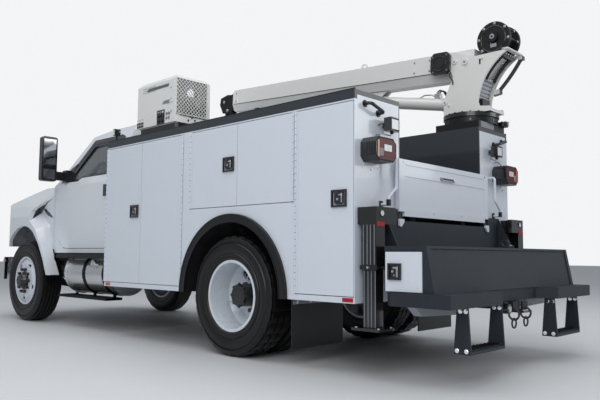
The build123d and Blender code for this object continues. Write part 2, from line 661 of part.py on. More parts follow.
with BuildPart() as cab_shell:
    add(cab_outer)
    add(cab_inner, mode=Mode.SUBTRACT)
    # The floor stands over the rails, and only the sills reach lower
    block((CAB_REAR - 1, CAB_FRONT + 1), (CAB_WALL + 30 - CAB_HALF, CAB_HALF - CAB_WALL - 30),
          (CAB_SILL_Z - 1, CAB_FLOOR_Z), mode=Mode.SUBTRACT)
    for side in (1, -1):
        add(side_cutter(door_outline, DOOR_GAP, side), mode=Mode.SUBTRACT)
    add(front_cutter(0), mode=Mode.SUBTRACT)
    add(rear_cutter(0), mode=Mode.SUBTRACT)
    # Mounting pads down to the rails
    for pad_x in (CAB_REAR + CAB_PAD_IN, CAB_FRONT - CAB_PAD_IN):
        for side in (1, -1):
            rod((pad_x, side * (RAIL_HALF - RAIL_FLANGE / 2), (RAIL_TOP + SEAT_GAP + CAB_FLOOR_Z + 10) / 2), "z",
                CAB_PAD_RADIUS, CAB_FLOOR_Z + 10 - RAIL_TOP - SEAT_GAP)
    # Cab sides ahead of the doors, with the rear half of each fender's flare round the wheel
    for side in (1, -1):
        root_y = CAB_HALF - 60
        panel = [(QUARTER_REAR, CAB_SILL_Z), *SEAM_LINE, (HOOD_SEAM_X, CAB_SILL_Z)]
        side_plate(panel, (side * root_y, side * SIDE_PANEL_HALF))
        side_plate([(station(3290), CAB_SILL_Z), (station(3290), DOOR_BOTTOM - 10),
                    (QUARTER_REAR + 1, DOOR_BOTTOM), (QUARTER_REAR + 1, CAB_SILL_Z)],
                   (side * root_y, side * CAB_HALF))
        with BuildPart() as flare:
            for flare_y, outline in FLARE_SECTIONS:
                with BuildSketch(Plane.XZ.offset(-side * flare_y)):
                    with BuildLine():
                        Polyline(*outline, close=True)
                    make_face()
            loft(ruled=True)
        add(flare.part)
        add(arch_cutter(side), mode=Mode.SUBTRACT)
save(cab_shell, "cab_shell")

glass_band = cab_form(GLASS_IN[0], CAB_SILL_Z) - cab_form(GLASS_IN[1], CAB_SILL_Z - 10)
with BuildPart() as cab_glass:
    add(glass_band & front_cutter(-SEAT_GAP))
    add(glass_band & rear_cutter(-SEAT_GAP))
save(cab_glass, "cab_glass")

# Dash, steering wheel and the two seats
with BuildPart() as cab_interior:
    floor_top = CAB_FLOOR_Z + CAB_FLOOR_WALL
    dash_half = CAB_HALF - CAB_WALL - DASH_IN
    block((CAB_FRONT - CAB_WALL - DASH_DEPTH, CAB_FRONT - CAB_WALL - SEAT_GAP), (-dash_half, dash_half), DASH_Z)
    driver_y = CAB_HALF - 530
    for seat_y, half in ((driver_y, 260), (620 - CAB_HALF, 430)):
        block((SEAT_X + 60, SEAT_X + 500), (seat_y - half + 30, seat_y + half - 30),
              (floor_top + SEAT_GAP, SEAT_TOP - 130))
        block((SEAT_X, SEAT_X + 550), (seat_y - half, seat_y + half), (SEAT_TOP - 130, SEAT_TOP))
        back = [(SEAT_X, SEAT_TOP - 60), (SEAT_X + 110, SEAT_TOP - 60),
                (SEAT_X - 40, SEAT_TOP + 580), (SEAT_X - 140, SEAT_TOP + 580)]
        side_plate(back, (seat_y - half, seat_y + half))
    wheel_tilt = Plane(origin=(SEAT_X + 660, driver_y, 1565), x_dir=(0, 1, 0), z_dir=(-0.82, 0, 0.57))
    with BuildSketch(wheel_tilt):
        Circle(225)
        Circle(200, mode=Mode.SUBTRACT)
        Rectangle(420, 34)
        Circle(60)
    extrude(amount=24)
    with BuildSketch(wheel_tilt):
        Circle(32)
    extrude(amount=-160)
save(cab_interior, "cab_interior")


def mirror_form(side):
    """A tall mirror on two arms from the door's front corner."""
    with BuildPart() as mirror:
        block(MIRROR_X, (side * MIRROR_Y[0], side * MIRROR_Y[1]), MIRROR_Z)
        fillet(mirror.edges().filter_by(Axis.X), radius=30)
        for arm_z in (1722, 1800):
            block((MIRROR_X[0] + 20, MIRROR_X[1] - 20), (side * (CAB_HALF - 60), side * (MIRROR_Y[0] + 10)),
                  (arm_z, arm_z + 26))
        block((MIRROR_X[0] - 10, MIRROR_X[1] + 10), (side * (CAB_HALF - 60), side * (CAB_HALF + 14)),
              (1700, 1850))
        add(cab_form(0, CAB_SILL_Z), mode=Mode.SUBTRACT)
    return mirror.part


# Cab doors with their glass; the mirror hangs from the door's front corner
for side, hand in ((1, "left"), (-1, "right")):
    with BuildPart() as door:
        add(cab_band & side_cutter(door_outline, 0, side))
        # Only the flank belongs to the door: the cab's front wall stays with the shell
        cross_plate(cab_section(CAB_WALL, CAB_SILL_Z - 20), (CAB_REAR - 10, CAB_FRONT + 10), mode=Mode.SUBTRACT)
        add(side_cutter(window_outline, 0, side), mode=Mode.SUBTRACT)
        block((DOOR_REAR + 60, DOOR_REAR + 130), (side * (CAB_HALF - 5), side * (CAB_HALF + 16)),
              (1485, 1615))
        add(mirror_form(side))
    save(door, f"cab_door_{hand}")
    with BuildPart() as glass:
        add(glass_band & side_cutter(window_outline, -SEAT_GAP, side))
    save(glass, f"door_glass_{hand}")


def hood_form(inset, bottom):
    """The solid hood and fenders inside a given inset."""
    top_rear = station(3630)
    seam = HOOD_SEAM_X + DOOR_GAP
    edge = [(px + DOOR_GAP, pz + DOOR_GAP + 2) for px, pz in reversed(SEAM_LINE)]
    plan = [(top_rear - 20, 965 - inset), (HOOD_SEAM_X, FENDER_HALF - 4 - inset),
            (station(4440), FENDER_HALF - 4 - inset), (station(4740) - inset / 2, 1060 - inset),
            (HOOD_FRONT - inset, 820 - inset)]
    with BuildPart() as form:
        rear_z, cowl_z, middle_z, brow_z, nose_z = (line_z - inset for line_z in HOOD_LINE_Z)
        side_plate([(top_rear, edge[-1][1]), (top_rear, rear_z), (station(4000), cowl_z),
                    (station(4300), middle_z), (HOOD_FRONT - 90 - inset, brow_z),
                    (HOOD_FRONT - inset, nose_z), (HOOD_FRONT - inset, bottom), (seam, bottom), *edge[:-1]],
                   (-FENDER_HALF, FENDER_HALF))
        cross_plate(both([(FENDER_HALF - inset, bottom), (FENDER_HALF - inset, 1290 - inset / 2),
                          (1130 - inset, 1430 - inset / 2), (1040 - inset, 1500 - inset / 2),
                          (955 - inset, 1590 - inset / 2), (860 - inset, 1690 - inset), (420, rear_z)]),
                    (top_rear - 30, HOOD_FRONT + 20), mode=Mode.INTERSECT)
        floor_plate(plan + [(px, -py) for px, py in reversed(plan)], (bottom - 10, 1900),
                    mode=Mode.INTERSECT)
    return form.part


with BuildPart() as hood:
    add(hood_form(0, HOOD_BOTTOM_Z))
    add(hood_form(HOOD_WALL, HOOD_BOTTOM_Z - 20), mode=Mode.SUBTRACT)
    block((station(3600), HOOD_SEAM_X + DOOR_GAP + 1), (-SIDE_PANEL_HALF - 6, SIDE_PANEL_HALF + 6), (1300, 1476),
          mode=Mode.SUBTRACT)
    for side in (1, -1):
        add(arch_cutter(side), mode=Mode.SUBTRACT)
        # Hinge ears down to the pivots
        side_plate([(HOOD_HINGE_X - 26, HOOD_HINGE_Z - 26), (HOOD_HINGE_X + 26, HOOD_HINGE_Z - 26),
                    (HOOD_FRONT - 2, HOOD_BOTTOM_Z + 50), (HOOD_HINGE_X - 26, HOOD_BOTTOM_Z + 50)],
                   (side * (RAIL_HALF + 10), side * (RAIL_HALF + 26)))
        rod((HOOD_HINGE_X, side * (RAIL_HALF + 18), HOOD_HINGE_Z), "y", 12 + SEAT_GAP, 40,
            mode=Mode.SUBTRACT)
    block((HOOD_FRONT - 120, HOOD_FRONT + 10), (-GRILLE_HALF, GRILLE_HALF), GRILLE_Z, mode=Mode.SUBTRACT)
    for side in (1, -1):
        block((HOOD_FRONT - 160, HOOD_FRONT + 10), (side * LAMP_Y[0], side * LAMP_Y[1]), LAMP_Z,
              mode=Mode.SUBTRACT)
save(hood, "hood")

# Grille bars in one frame, and a headlamp to each side
with BuildPart() as grille:
    frame_y = GRILLE_HALF - SEAT_GAP
    frame_z = (GRILLE_Z[0] + SEAT_GAP, GRILLE_Z[1] - SEAT_GAP)
    grille_x = (HOOD_FRONT - 40, HOOD_FRONT - 4)
    block(grille_x, (-frame_y, frame_y), frame_z)
    opening = (frame_z[1] - frame_z[0] - GRILLE_BAR * (GRILLE_BARS + 1)) / GRILLE_BARS
    for row in range(GRILLE_BARS):
        low = frame_z[0] + GRILLE_BAR + row * (opening + GRILLE_BAR)
        block((grille_x[0] - 1, grille_x[1] + 1), (GRILLE_BAR - frame_y, frame_y - GRILLE_BAR),
              (low, low + opening), mode=Mode.SUBTRACT)
    for side in (1, -1):
        block((HOOD_FRONT - 200, HOOD_FRONT + 20),
              (side * (LAMP_Y[0] + SEAT_GAP), side * (LAMP_Y[1] - SEAT_GAP)),
              (LAMP_Z[0] + SEAT_GAP, LAMP_Z[1] - SEAT_GAP))
    add(hood_form(10, HOOD_BOTTOM_Z - 50), mode=Mode.INTERSECT)
save(grille, "grille")

# Front bumper: a channel whose ends wrap back round the fenders, on two brackets
with BuildPart() as front_bumper:
    front = station(DRAWN_WHEELBASE + FRONT_OVERHANG)
    bumper = [(front, 700), (front - 60, 980), (front - 200, 1130), (BUMPER_END_X, 1165),
              (BUMPER_END_X, 1125), (front - 220, 1090), (front - 110, 950), (front - 70, 690)]
    floor_plate(bumper + [(px, -py) for px, py in reversed(bumper)], BUMPER_Z)
    for side in (1, -1):
        block((RAIL_FRONT + SEAT_GAP, front - 60), (side * (RAIL_HALF - 30), side * (RAIL_HALF + 30)),
              (RAIL_BOTTOM - 40, RAIL_BOTTOM + 30))
save(front_bumper, "front_bumper")

# Fuel tank under the driver's door: a round tank in two straps, hung from the rail
with BuildPart() as fuel_tank:
    rod((sum(TANK_X) / 2, TANK_Y, TANK_Z), "x", TANK_RADIUS, TANK_X[1] - TANK_X[0])
    for strap_x in (TANK_X[0] + 140, TANK_X[1] - 480, TANK_X[1] - 60):
        rod((strap_x, TANK_Y, TANK_Z), "x", TANK_RADIUS + 6, 55)
        block((strap_x - 27, strap_x + 27), (RAIL_HALF + SEAT_GAP, TANK_Y - TANK_RADIUS + 60),
              (TANK_Z - 60, RAIL_BOTTOM + 120))
        # Lower step board hangs from the strap
        block((strap_x - 20, strap_x + 20), (LOWER_STEP_Y[0], TANK_Y + 100), (LOWER_STEP_Z[0], TANK_Z - 222))
    block((TANK_X[0], TANK_X[1] + 40), LOWER_STEP_Y, LOWER_STEP_Z)
    # Filler neck and cap
    rod((TANK_X[0] + 350, TANK_Y + 195, TANK_Z + 110), "y", 42, 110)
save(fuel_tank, "fuel_tank")

# Step boards under both doors, and the battery box behind the right one
with BuildPart() as cab_steps:
    for side in (1, -1):
        block((station(2070), station(3240)), (side * (CAB_HALF + 4), side * STEP_OUT_Y), STEP_Z)
        for bracket_x in (station(2200), station(2760), station(3210)):
            block((bracket_x - 20, bracket_x + 20), (side * (CAB_HALF - 50), side * (CAB_HALF + 10)),
                  (STEP_Z[1] - 12, CAB_SILL_Z - SEAT_GAP))
    block((station(2250), station(2930)), (SEAT_GAP - RAIL_HALF - 200, -CAB_HALF + 20), (400, 780))
    for bracket_x in (station(2400), station(2780)):
        block((bracket_x - 30, bracket_x + 30), (-RAIL_HALF - SEAT_GAP, -RAIL_HALF - 220), (700, 770))
save(cab_steps, "cab_steps")

# Side packs: tall cabinets over each rear wheel, hollow behind every door
for side, hand in ((1, "left"), (-1, "right")):
    with BuildPart() as pack:
        flank = (BODY_HALF - PACK_DOOR_WALL, BODY_HALF)
        block((BODY_REAR, BODY_FRONT), (side * PACK_INNER_Y, side * BODY_HALF), (BODY_BOTTOM, BODY_TOP))
        for name, door_x, door_z, hinge, latch in PACK_DOORS:
            hole_x = (station(door_x[0]) - PACK_DOOR_GAP, station(door_x[1]) + PACK_DOOR_GAP)
            hole_z = (door_z[0] - PACK_DOOR_GAP, door_z[1] + PACK_DOOR_GAP)
            block(hole_x, (side * flank[0], side * (flank[1] + 1)), hole_z, mode=Mode.SUBTRACT)
            block((hole_x[0] + DOOR_STOP, hole_x[1] - DOOR_STOP),
                  (side * (PACK_INNER_Y + PACK_WALL), side * (flank[0] + 1)),
                  (hole_z[0] + DOOR_STOP, hole_z[1] - DOOR_STOP), mode=Mode.SUBTRACT)
        # Wheel well, open below and towards the chassis
        rod((REAR_AXLE_X, side * (PACK_INNER_Y + BODY_HALF) / 2, WHEEL_WELL_Z), "y", WHEEL_WELL_RADIUS,
            PACK_DEPTH + 20, mode=Mode.SUBTRACT)
    save(pack, f"pack_{hand}")

    for name, door_x, door_z, hinge, latch in PACK_DOORS:
        with BuildPart() as door:
            near, far = station(door_x[0]), station(door_x[1])
            skin = side * BODY_HALF
            block((near, far), (side * (BODY_HALF - PACK_DOOR_WALL + SEAT_GAP), skin), door_z)
            # Hinge barrel along the front or rear edge
            toward = 1 if hinge == "front" else -1
            edge = far if hinge == "front" else near
            barrel_y = side * (BODY_HALF + HINGE_RADIUS + SEAT_GAP)
            barrel_x = edge + toward * PACK_DOOR_GAP / 2
            rod((barrel_x, barrel_y, sum(door_z) / 2), "z", HINGE_RADIUS, door_z[1] - door_z[0])
            block((barrel_x, edge - toward * 24), (side * (BODY_HALF - 1), side * (BODY_HALF + 5)), door_z)
            block((barrel_x, edge), (side * (BODY_HALF + SEAT_GAP), side * (BODY_HALF + 5)), door_z)
            if latch:
                latch_x = (station(latch[0]) - LATCH_WIDTH / 2, station(latch[0]) + LATCH_WIDTH / 2)
                latch_z = (latch[1] - LATCH_HEIGHT / 2, latch[1] + LATCH_HEIGHT / 2)
                block(latch_x, (skin, side * (BODY_HALF + LATCH_PROUD)), latch_z)
                block((latch_x[0] + LATCH_RIM, latch_x[1] - LATCH_RIM),
                      (side * (BODY_HALF - 12), side * (BODY_HALF + LATCH_PROUD + 1)),
                      (latch_z[0] + LATCH_RIM, latch_z[1] - LATCH_RIM), mode=Mode.SUBTRACT)
                block((latch_x[0] + 2 * LATCH_RIM, latch_x[1] - 2 * LATCH_RIM),
                      (side * (BODY_HALF - 12), side * (BODY_HALF + LATCH_PROUD - 5)),
                      (latch_z[0] + 2 * LATCH_RIM, latch_z[1] - LATCH_RIM - 4))
        save(door, f"pack_door_{name}_{hand}")


def boom_place(along, up):
    """The (X, Z) of a place along the boom and above its pivot line."""
    tilt = math.radians(BOOM_RISE)
    return (LIFT_PIVOT[0] + along * math.cos(tilt) - up * math.sin(tilt),
            LIFT_PIVOT[1] + along * math.sin(tilt) + up * math.cos(tilt))


def boom_bar(outline, along, mode=Mode.ADD):
    """A bar along the boom, from its (across, up) section."""
    tilt = math.radians(BOOM_RISE)
    start = boom_place(min(along), 0)
    plane = Plane(origin=(start[0], CRANE_Y, start[1]), x_dir=(0, 1, 0),
                  z_dir=(math.cos(tilt), 0, math.sin(tilt)))
    outlined(plane, outline, abs(along[1] - along[0]), mode)


def boom_plate(outline, y, mode=Mode.ADD):
    """A plate beside the boom, from (along, up) points, between two Y values."""
    side_plate([boom_place(*point) for point in outline], y, mode)


# Bed between the packs: floor on two sills, front bulkhead and the boom's rest
with BuildPart() as bed:
    floor_z = (BED_FLOOR_TOP - BED_FLOOR_WALL, BED_FLOOR_TOP)
    bed_half = PACK_INNER_Y - SEAT_GAP
    block((BODY_REAR + RUNNING_GAP, BODY_FRONT), (-bed_half, bed_half), floor_z)
    for side in (1, -1):
        block((BODY_REAR + 40, BODY_FRONT - 40), (side * RAIL_HALF, side * (RAIL_HALF - RAIL_FLANGE)),
              (RAIL_TOP + SEAT_GAP, floor_z[0]))
    block((BODY_FRONT - 30, BODY_FRONT), (-bed_half, bed_half), (floor_z[1], BODY_TOP))
    for rib_y in (-320, 0, 320):
        block((BODY_FRONT - 55, BODY_FRONT - 30), (rib_y - 25, rib_y + 25), (floor_z[1], BODY_TOP))
    # Boom rest: a post on the right pack, with a cradle under the boom
    rest_x = (station(1800), station(1870))
    cradle_z = boom_place(rest_x[0] - LIFT_PIVOT[0], BOOM_UNDER)[1] - RUNNING_GAP
    block((rest_x[0] - 40, rest_x[1] + 40), (CRANE_Y - 90, CRANE_Y + 90), (BODY_TOP + SEAT_GAP, BODY_TOP + 14))
    block((rest_x[0] + 5, rest_x[1] - 5), (CRANE_Y - 35, CRANE_Y + 35), (BODY_TOP + 14, cradle_z - 30))
    block(rest_x, (CRANE_Y - BOOM_HALF - 30, CRANE_Y + BOOM_HALF + 30), (cradle_z - 34, cradle_z))
save(bed, "bed")


# Rubber flares round the wheel wells, and the mudflaps behind the rear wheels
with BuildPart() as flares:
    for side in (1, -1):
        middle = (REAR_AXLE_X, side * (BODY_HALF + SEAT_GAP + FLARE_PROUD / 2), WHEEL_WELL_Z)
        rod(middle, "y", FLARE_RADIUS, FLARE_PROUD)
        rod(middle, "y", WHEEL_WELL_RADIUS, FLARE_PROUD + 2, mode=Mode.SUBTRACT)
        block((REAR_AXLE_X - FLARE_RADIUS - 1, REAR_AXLE_X + FLARE_RADIUS + 1),
              (side * BODY_HALF, side * (BODY_HALF + FLARE_PROUD + 2)), (-200, BODY_BOTTOM), mode=Mode.SUBTRACT)
        block((MUDFLAP_X, MUDFLAP_X + 10), (side * MUDFLAP_Y[0], side * MUDFLAP_Y[1]),
              (MUDFLAP_BOTTOM, BODY_BOTTOM - SEAT_GAP))
save(flares, "flares")

# Rear apron under the tailgate, with its corner gussets and the tailgate's hinge eyes
GATE_AXIS = (BODY_REAR - 16, 1152)
with BuildPart() as rear_apron:
    apron_x = (BODY_REAR - SEAT_GAP, BODY_REAR - 34)
    block(apron_x, (-APRON_HALF, APRON_HALF), (BENCH_TOP - 30, APRON_TOP))
    block((apron_x[1], BENCH_FRONT + SEAT_GAP), (-APRON_HALF, APRON_HALF), (BENCH_TOP - 30, BENCH_TOP))
    for side in (1, -1):
        block(apron_x, (side * (GATE_HALF + 8), side * APRON_HALF), (APRON_TOP - 1, APRON_END_TOP))
        side_plate([(apron_x[1], BENCH_TOP), (apron_x[1], APRON_END_TOP), (BENCH_FRONT + 52, BENCH_TOP)],
                   (side * (APRON_HALF - 12), side * APRON_HALF))
        block((GATE_AXIS[0] - 12, GATE_AXIS[0] + 12), (side * (GATE_HALF - 60), side * (GATE_HALF - 8)),
              (APRON_TOP, GATE_AXIS[1]))
        rod((GATE_AXIS[0], side * (GATE_HALF - 34), GATE_AXIS[1]), "y", 12, 52)
        rod((GATE_AXIS[0], side * (GATE_HALF - 34), GATE_AXIS[1]), "y", 6 + SEAT_GAP, 60, mode=Mode.SUBTRACT)
save(rear_apron, "rear_apron")

# Tailgate on two pins, with its upper band and hand slot
with BuildPart() as tailgate:
    gate_x = (BODY_REAR - 6, BODY_REAR - 6 - GATE_WALL)
    block(gate_x, (-GATE_HALF, GATE_HALF), (GATE_BOTTOM, GATE_TOP))
    for side in (1, -1):
        block((gate_x[0] + 1, gate_x[1] - 1), (side * (GATE_HALF - 66), side * (GATE_HALF + 1)),
              (GATE_BOTTOM - 1, GATE_BOTTOM + 34), mode=Mode.SUBTRACT)
        rod((GATE_AXIS[0], side * (GATE_HALF - 45), GATE_AXIS[1]), "y", 6, 70)
    block((gate_x[1] + 5, gate_x[1] - 1), (-GATE_HALF + 70, GATE_HALF - 70), (GATE_TOP - 90, GATE_TOP - 40),
          mode=Mode.SUBTRACT)
    block((gate_x[1] + 5, gate_x[1] - 1), (-GATE_HALF + 70, GATE_HALF - 70), (GATE_BOTTOM + 60, GATE_TOP - 130),
          mode=Mode.SUBTRACT)
save(tailgate, "tailgate")

# Bench bumper: a through box over a lower step, with the receiver and the boot steps
with BuildPart() as bench_bumper:
    bench_y = (-BENCH_HALF + BENCH_DOOR_WALL, BENCH_HALF - BENCH_DOOR_WALL)
    shell = [(BENCH_FRONT, STEP_TOP), (BENCH_FRONT, BENCH_TOP), (BENCH_REAR_TOP, BENCH_TOP),
             (BENCH_REAR_LOW, STEP_TOP)]
    wall = BENCH_WALL
    hollow = [(BENCH_FRONT - wall, STEP_TOP + wall), (BENCH_FRONT - wall, BENCH_TOP - wall),
              (BENCH_REAR_TOP + wall, BENCH_TOP - wall), (BENCH_REAR_LOW + wall, STEP_TOP + wall)]
    side_plate(shell, bench_y)
    side_plate(hollow, (bench_y[0] - 1, bench_y[1] + 1), mode=Mode.SUBTRACT)
    # End frames behind the doors, and a lip along the top's rear edge
    frame_edge = BENCH_REAR_TOP + 18
    for side in (1, -1):
        side_plate([(frame_edge, STEP_TOP), (frame_edge, BENCH_TOP), (BENCH_REAR_TOP, BENCH_TOP),
                    (BENCH_REAR_LOW, STEP_TOP)], (side * (BENCH_HALF - BENCH_DOOR_WALL), side * BENCH_HALF))
        block((frame_edge - 1, BENCH_FRONT), (side * (BENCH_HALF - BENCH_DOOR_WALL), side * BENCH_HALF),
              (BENCH_TOP - 33, BENCH_TOP))
        side_plate([(BENCH_REAR_TOP + 5, BENCH_TOP), (BENCH_REAR_TOP - BENCH_RIM, BENCH_TOP),
                    (BENCH_REAR_LOW - BENCH_RIM, STEP_TOP), (BENCH_REAR_LOW + 5, STEP_TOP)],
                   (side * (BENCH_HALF - 45), side * BENCH_HALF))
        # Bent plate under the step
        cross_plate([(side * 1105, STEP_BOTTOM), (side * 1020, STEP_BOTTOM - 68), (side * 560, STEP_BOTTOM - 84),
                     (side * 560, STEP_BOTTOM)], (station(-1765), station(-1700)))
    side_plate([(BENCH_REAR_TOP + 5, BENCH_TOP), (BENCH_REAR_TOP - BENCH_RIM, BENCH_TOP),
                (BENCH_REAR_TOP - BENCH_RIM - 3, BENCH_TOP - 18), (BENCH_REAR_TOP + 2, BENCH_TOP - 18)],
               (-BENCH_HALF + 40, BENCH_HALF - 40))
    step = [(BENCH_FRONT, STEP_HALF - 60), (BENCH_FRONT - 60, STEP_HALF), (STEP_REAR, STEP_HALF),
            (STEP_REAR, HITCH_RECESS_HALF + 40), (STEP_REAR + HITCH_RECESS_DEPTH, HITCH_RECESS_HALF - 40)]
    floor_plate(step + [(px, -py) for px, py in reversed(step)], (STEP_BOTTOM, STEP_TOP))
    # Receiver tube under the step, hollow from behind
    receiver = RECEIVER_SIZE / 2 + RECEIVER_WALL
    tube_z = STEP_BOTTOM - receiver
    block((BENCH_FRONT - 60, STEP_REAR + HITCH_RECESS_DEPTH - 30), (-receiver, receiver),
          (tube_z - receiver, STEP_BOTTOM))
    block((BENCH_FRONT - 90, STEP_REAR + HITCH_RECESS_DEPTH - 31), (-RECEIVER_SIZE / 2, RECEIVER_SIZE / 2),
          (tube_z - RECEIVER_SIZE / 2, tube_z + RECEIVER_SIZE / 2), mode=Mode.SUBTRACT)
    # Bench eye and foot plates for a vise
    block((BENCH_REAR_TOP + 60, BENCH_REAR_TOP + 160), (-250, -150), (BENCH_TOP, BENCH_TOP + 8))
    rod((BENCH_REAR_TOP + 110, -200, BENCH_TOP + 36), "y", 34, 16)
    rod((BENCH_REAR_TOP + 110, -200, BENCH_TOP + 40), "y", 19, 18, mode=Mode.SUBTRACT)
    with BuildSketch(Plane.XY.offset(BENCH_TOP - BENCH_WALL - 1)):
        with Locations((sum(VISE_X) / 2, VISE_Y)):
            with GridLocations(VISE_X[1] - VISE_X[0], VISE_PITCH_Y, 2, 2):
                Circle(VISE_HOLE_RADIUS)
    extrude(amount=BENCH_WALL + 2, mode=Mode.SUBTRACT)
    # Boot steps: two straps and a ribbed tread to each side
    for side in (1, -1):
        low_y, high_y = side * BOOT_STEP_Y[0], side * BOOT_STEP_Y[1]
        strap = [(STEP_REAR + 20, STEP_BOTTOM), (STEP_REAR + 100, STEP_BOTTOM),
                 (STEP_REAR + 125, BOOT_STEP_BOTTOM + 30), (STEP_REAR + 125, BOOT_STEP_BOTTOM),
                 (STEP_REAR + 5, BOOT_STEP_BOTTOM), (STEP_REAR + 5, BOOT_STEP_BOTTOM + 30)]
        for strap_y in (low_y, high_y - side * 14):
            side_plate(strap, (strap_y, strap_y + side * 14))
        block((STEP_REAR + 5, STEP_REAR + 125), (low_y, high_y), (BOOT_STEP_BOTTOM, BOOT_STEP_BOTTOM + 22))
        for rib in range(3):
            rib_x = STEP_REAR + 20 + 38 * rib
            block((rib_x, rib_x + 14), (low_y, high_y), (BOOT_STEP_BOTTOM + 22, BOOT_STEP_BOTTOM + 30))
save(bench_bumper, "bench_bumper")

# Doors on the two ends of the bench bumper's box
for side, hand in ((1, "left"), (-1, "right")):
    with BuildPart() as end_door:
        end_x = (BENCH_REAR_TOP + 29, BENCH_FRONT - 7)
        end_z = (STEP_TOP + RUNNING_GAP, BENCH_TOP - 39)
        inner_y = side * (BENCH_HALF - BENCH_DOOR_WALL + SEAT_GAP)
        block(end_x, (inner_y, side * BENCH_HALF), end_z)
        rod((end_x[0], side * (BENCH_HALF - 2), sum(end_z) / 2), "z", 6, end_z[1] - end_z[0])
        latch_z = (sum(end_z) / 2 - 55, sum(end_z) / 2 + 55)
        block((end_x[1] - 130, end_x[1] - 25), (side * BENCH_HALF, side * (BENCH_HALF + LATCH_PROUD)), latch_z)
        block((end_x[1] - 130 + LATCH_RIM, end_x[1] - 25 - LATCH_RIM),
              (side * (BENCH_HALF + 4), side * (BENCH_HALF + LATCH_PROUD + 1)),
              (latch_z[0] + LATCH_RIM, latch_z[1] - LATCH_RIM), mode=Mode.SUBTRACT)
    save(end_door, f"bench_door_{hand}")

# Outrigger housings: header boxes and columns; the legs slide down inside
with BuildPart() as outrigger_housings:
    for side in (1, -1):
        y_in, y_out = side * OUTRIGGER_Y[0], side * OUTRIGGER_Y[1]
        block(OUTRIGGER_X, (y_in, y_out), (OUTRIGGER_LOW, OUTRIGGER_TOP))
        block((OUTRIGGER_X[0], BODY_REAR - SEAT_GAP), (y_in - side * 20, y_out),
              (OUTRIGGER_TOP - 120, OUTRIGGER_TOP))
        block((OUTRIGGER_X[0], OUTRIGGER_X[0] + 40), (side * (APRON_HALF + SEAT_GAP), y_out),
              (OUTRIGGER_TOP - 120, OUTRIGGER_TOP))
        block((OUTRIGGER_X[0] - 12, OUTRIGGER_X[1] + 12), (y_in - side * 12, y_out + side * 6),
              (OUTRIGGER_LOW, OUTRIGGER_LOW + 30))
    for side in (1, -1):
        wall = OUTRIGGER_WALL
        block((OUTRIGGER_X[0] + wall, OUTRIGGER_X[1] - wall),
              (side * (OUTRIGGER_Y[0] + wall), side * (OUTRIGGER_Y[1] - wall)),
              (OUTRIGGER_LOW - 1, OUTRIGGER_TOP - 16), mode=Mode.SUBTRACT)
save(outrigger_housings, "outrigger_housings")

for side, hand in ((1, "left"), (-1, "right")):
    with BuildPart() as leg:
        slip = OUTRIGGER_WALL + SEAT_GAP
        block((OUTRIGGER_X[0] + slip, OUTRIGGER_X[1] - slip),
              (side * (OUTRIGGER_Y[0] + slip), side * (OUTRIGGER_Y[1] - slip)), (FOOT_Z, OUTRIGGER_TOP - 60))
        middle_y = side * sum(OUTRIGGER_Y) / 2
        block((OUTRIGGER_X[0] - 50, OUTRIGGER_X[1] + 60), (middle_y - 90, middle_y + 90),
              (FOOT_Z, FOOT_Z + FOOT_WALL))
    save(leg, f"outrigger_leg_{hand}")

# Tail lamps and work lights on the packs' rear faces
with BuildPart() as tail_lamps:
    for side in (1, -1):
        near, far = LAMP_HOUSE_Y
        low, high = LAMP_HOUSE_Z
        cut = LAMP_CORNER
        octagon = [(near + cut, low), (far - cut, low), (far, low + cut), (far, high - cut), (far - cut, high),
                   (near + cut, high), (near, high - cut), (near, low + cut)]
        cross_plate([(side * across, up) for across, up in octagon],
                    (BODY_REAR - SEAT_GAP, BODY_REAR - LAMP_DEPTH))
        # Work light on its bracket
        block((BODY_REAR - SEAT_GAP, BODY_REAR - 40), (side * (WORK_LIGHT_Y[0] + 35), side * (WORK_LIGHT_Y[1] - 35)),
              (WORK_LIGHT_Z[0] + 30, WORK_LIGHT_Z[1] - 30))
        block((BODY_REAR - 40, BODY_REAR - 100), (side * WORK_LIGHT_Y[0], side * WORK_LIGHT_Y[1]), WORK_LIGHT_Z)
save(tail_lamps, "tail_lamps")

# Black grab handles high on the packs, and cranked white bars beside the tailgate
with BuildPart() as grab_bars:
    for side in (1, -1):
        face = BODY_REAR - SEAT_GAP
        with BuildLine() as path:
            stand = face - HANDLE_STAND
            FilletPolyline((face, side * HANDLE_OUT[0], HANDLE_OUT[1]), (stand, side * HANDLE_OUT[0], HANDLE_OUT[1]),
                           (stand, side * HANDLE_IN[0], HANDLE_IN[1]), (face, side * HANDLE_IN[0], HANDLE_IN[1]),
                           radius=26)
        with BuildSketch(Plane(origin=path.line @ 0, z_dir=path.line % 0)):
            Circle(HANDLE_RADIUS)
        sweep()
        with BuildLine() as path:
            FilletPolyline((face, side * 778, 1560), (face - 72, side * 778, 1560),
                           (face - 72, side * 778, 1345), (face - 72, side * 876, 1265),
                           (face - 72, side * 876, 1215), (face, side * 876, 1215), radius=24)
        with BuildSketch(Plane(origin=path.line @ 0, z_dir=path.line % 0)):
            Circle(11)
        sweep()
save(grab_bars, "grab_bars")

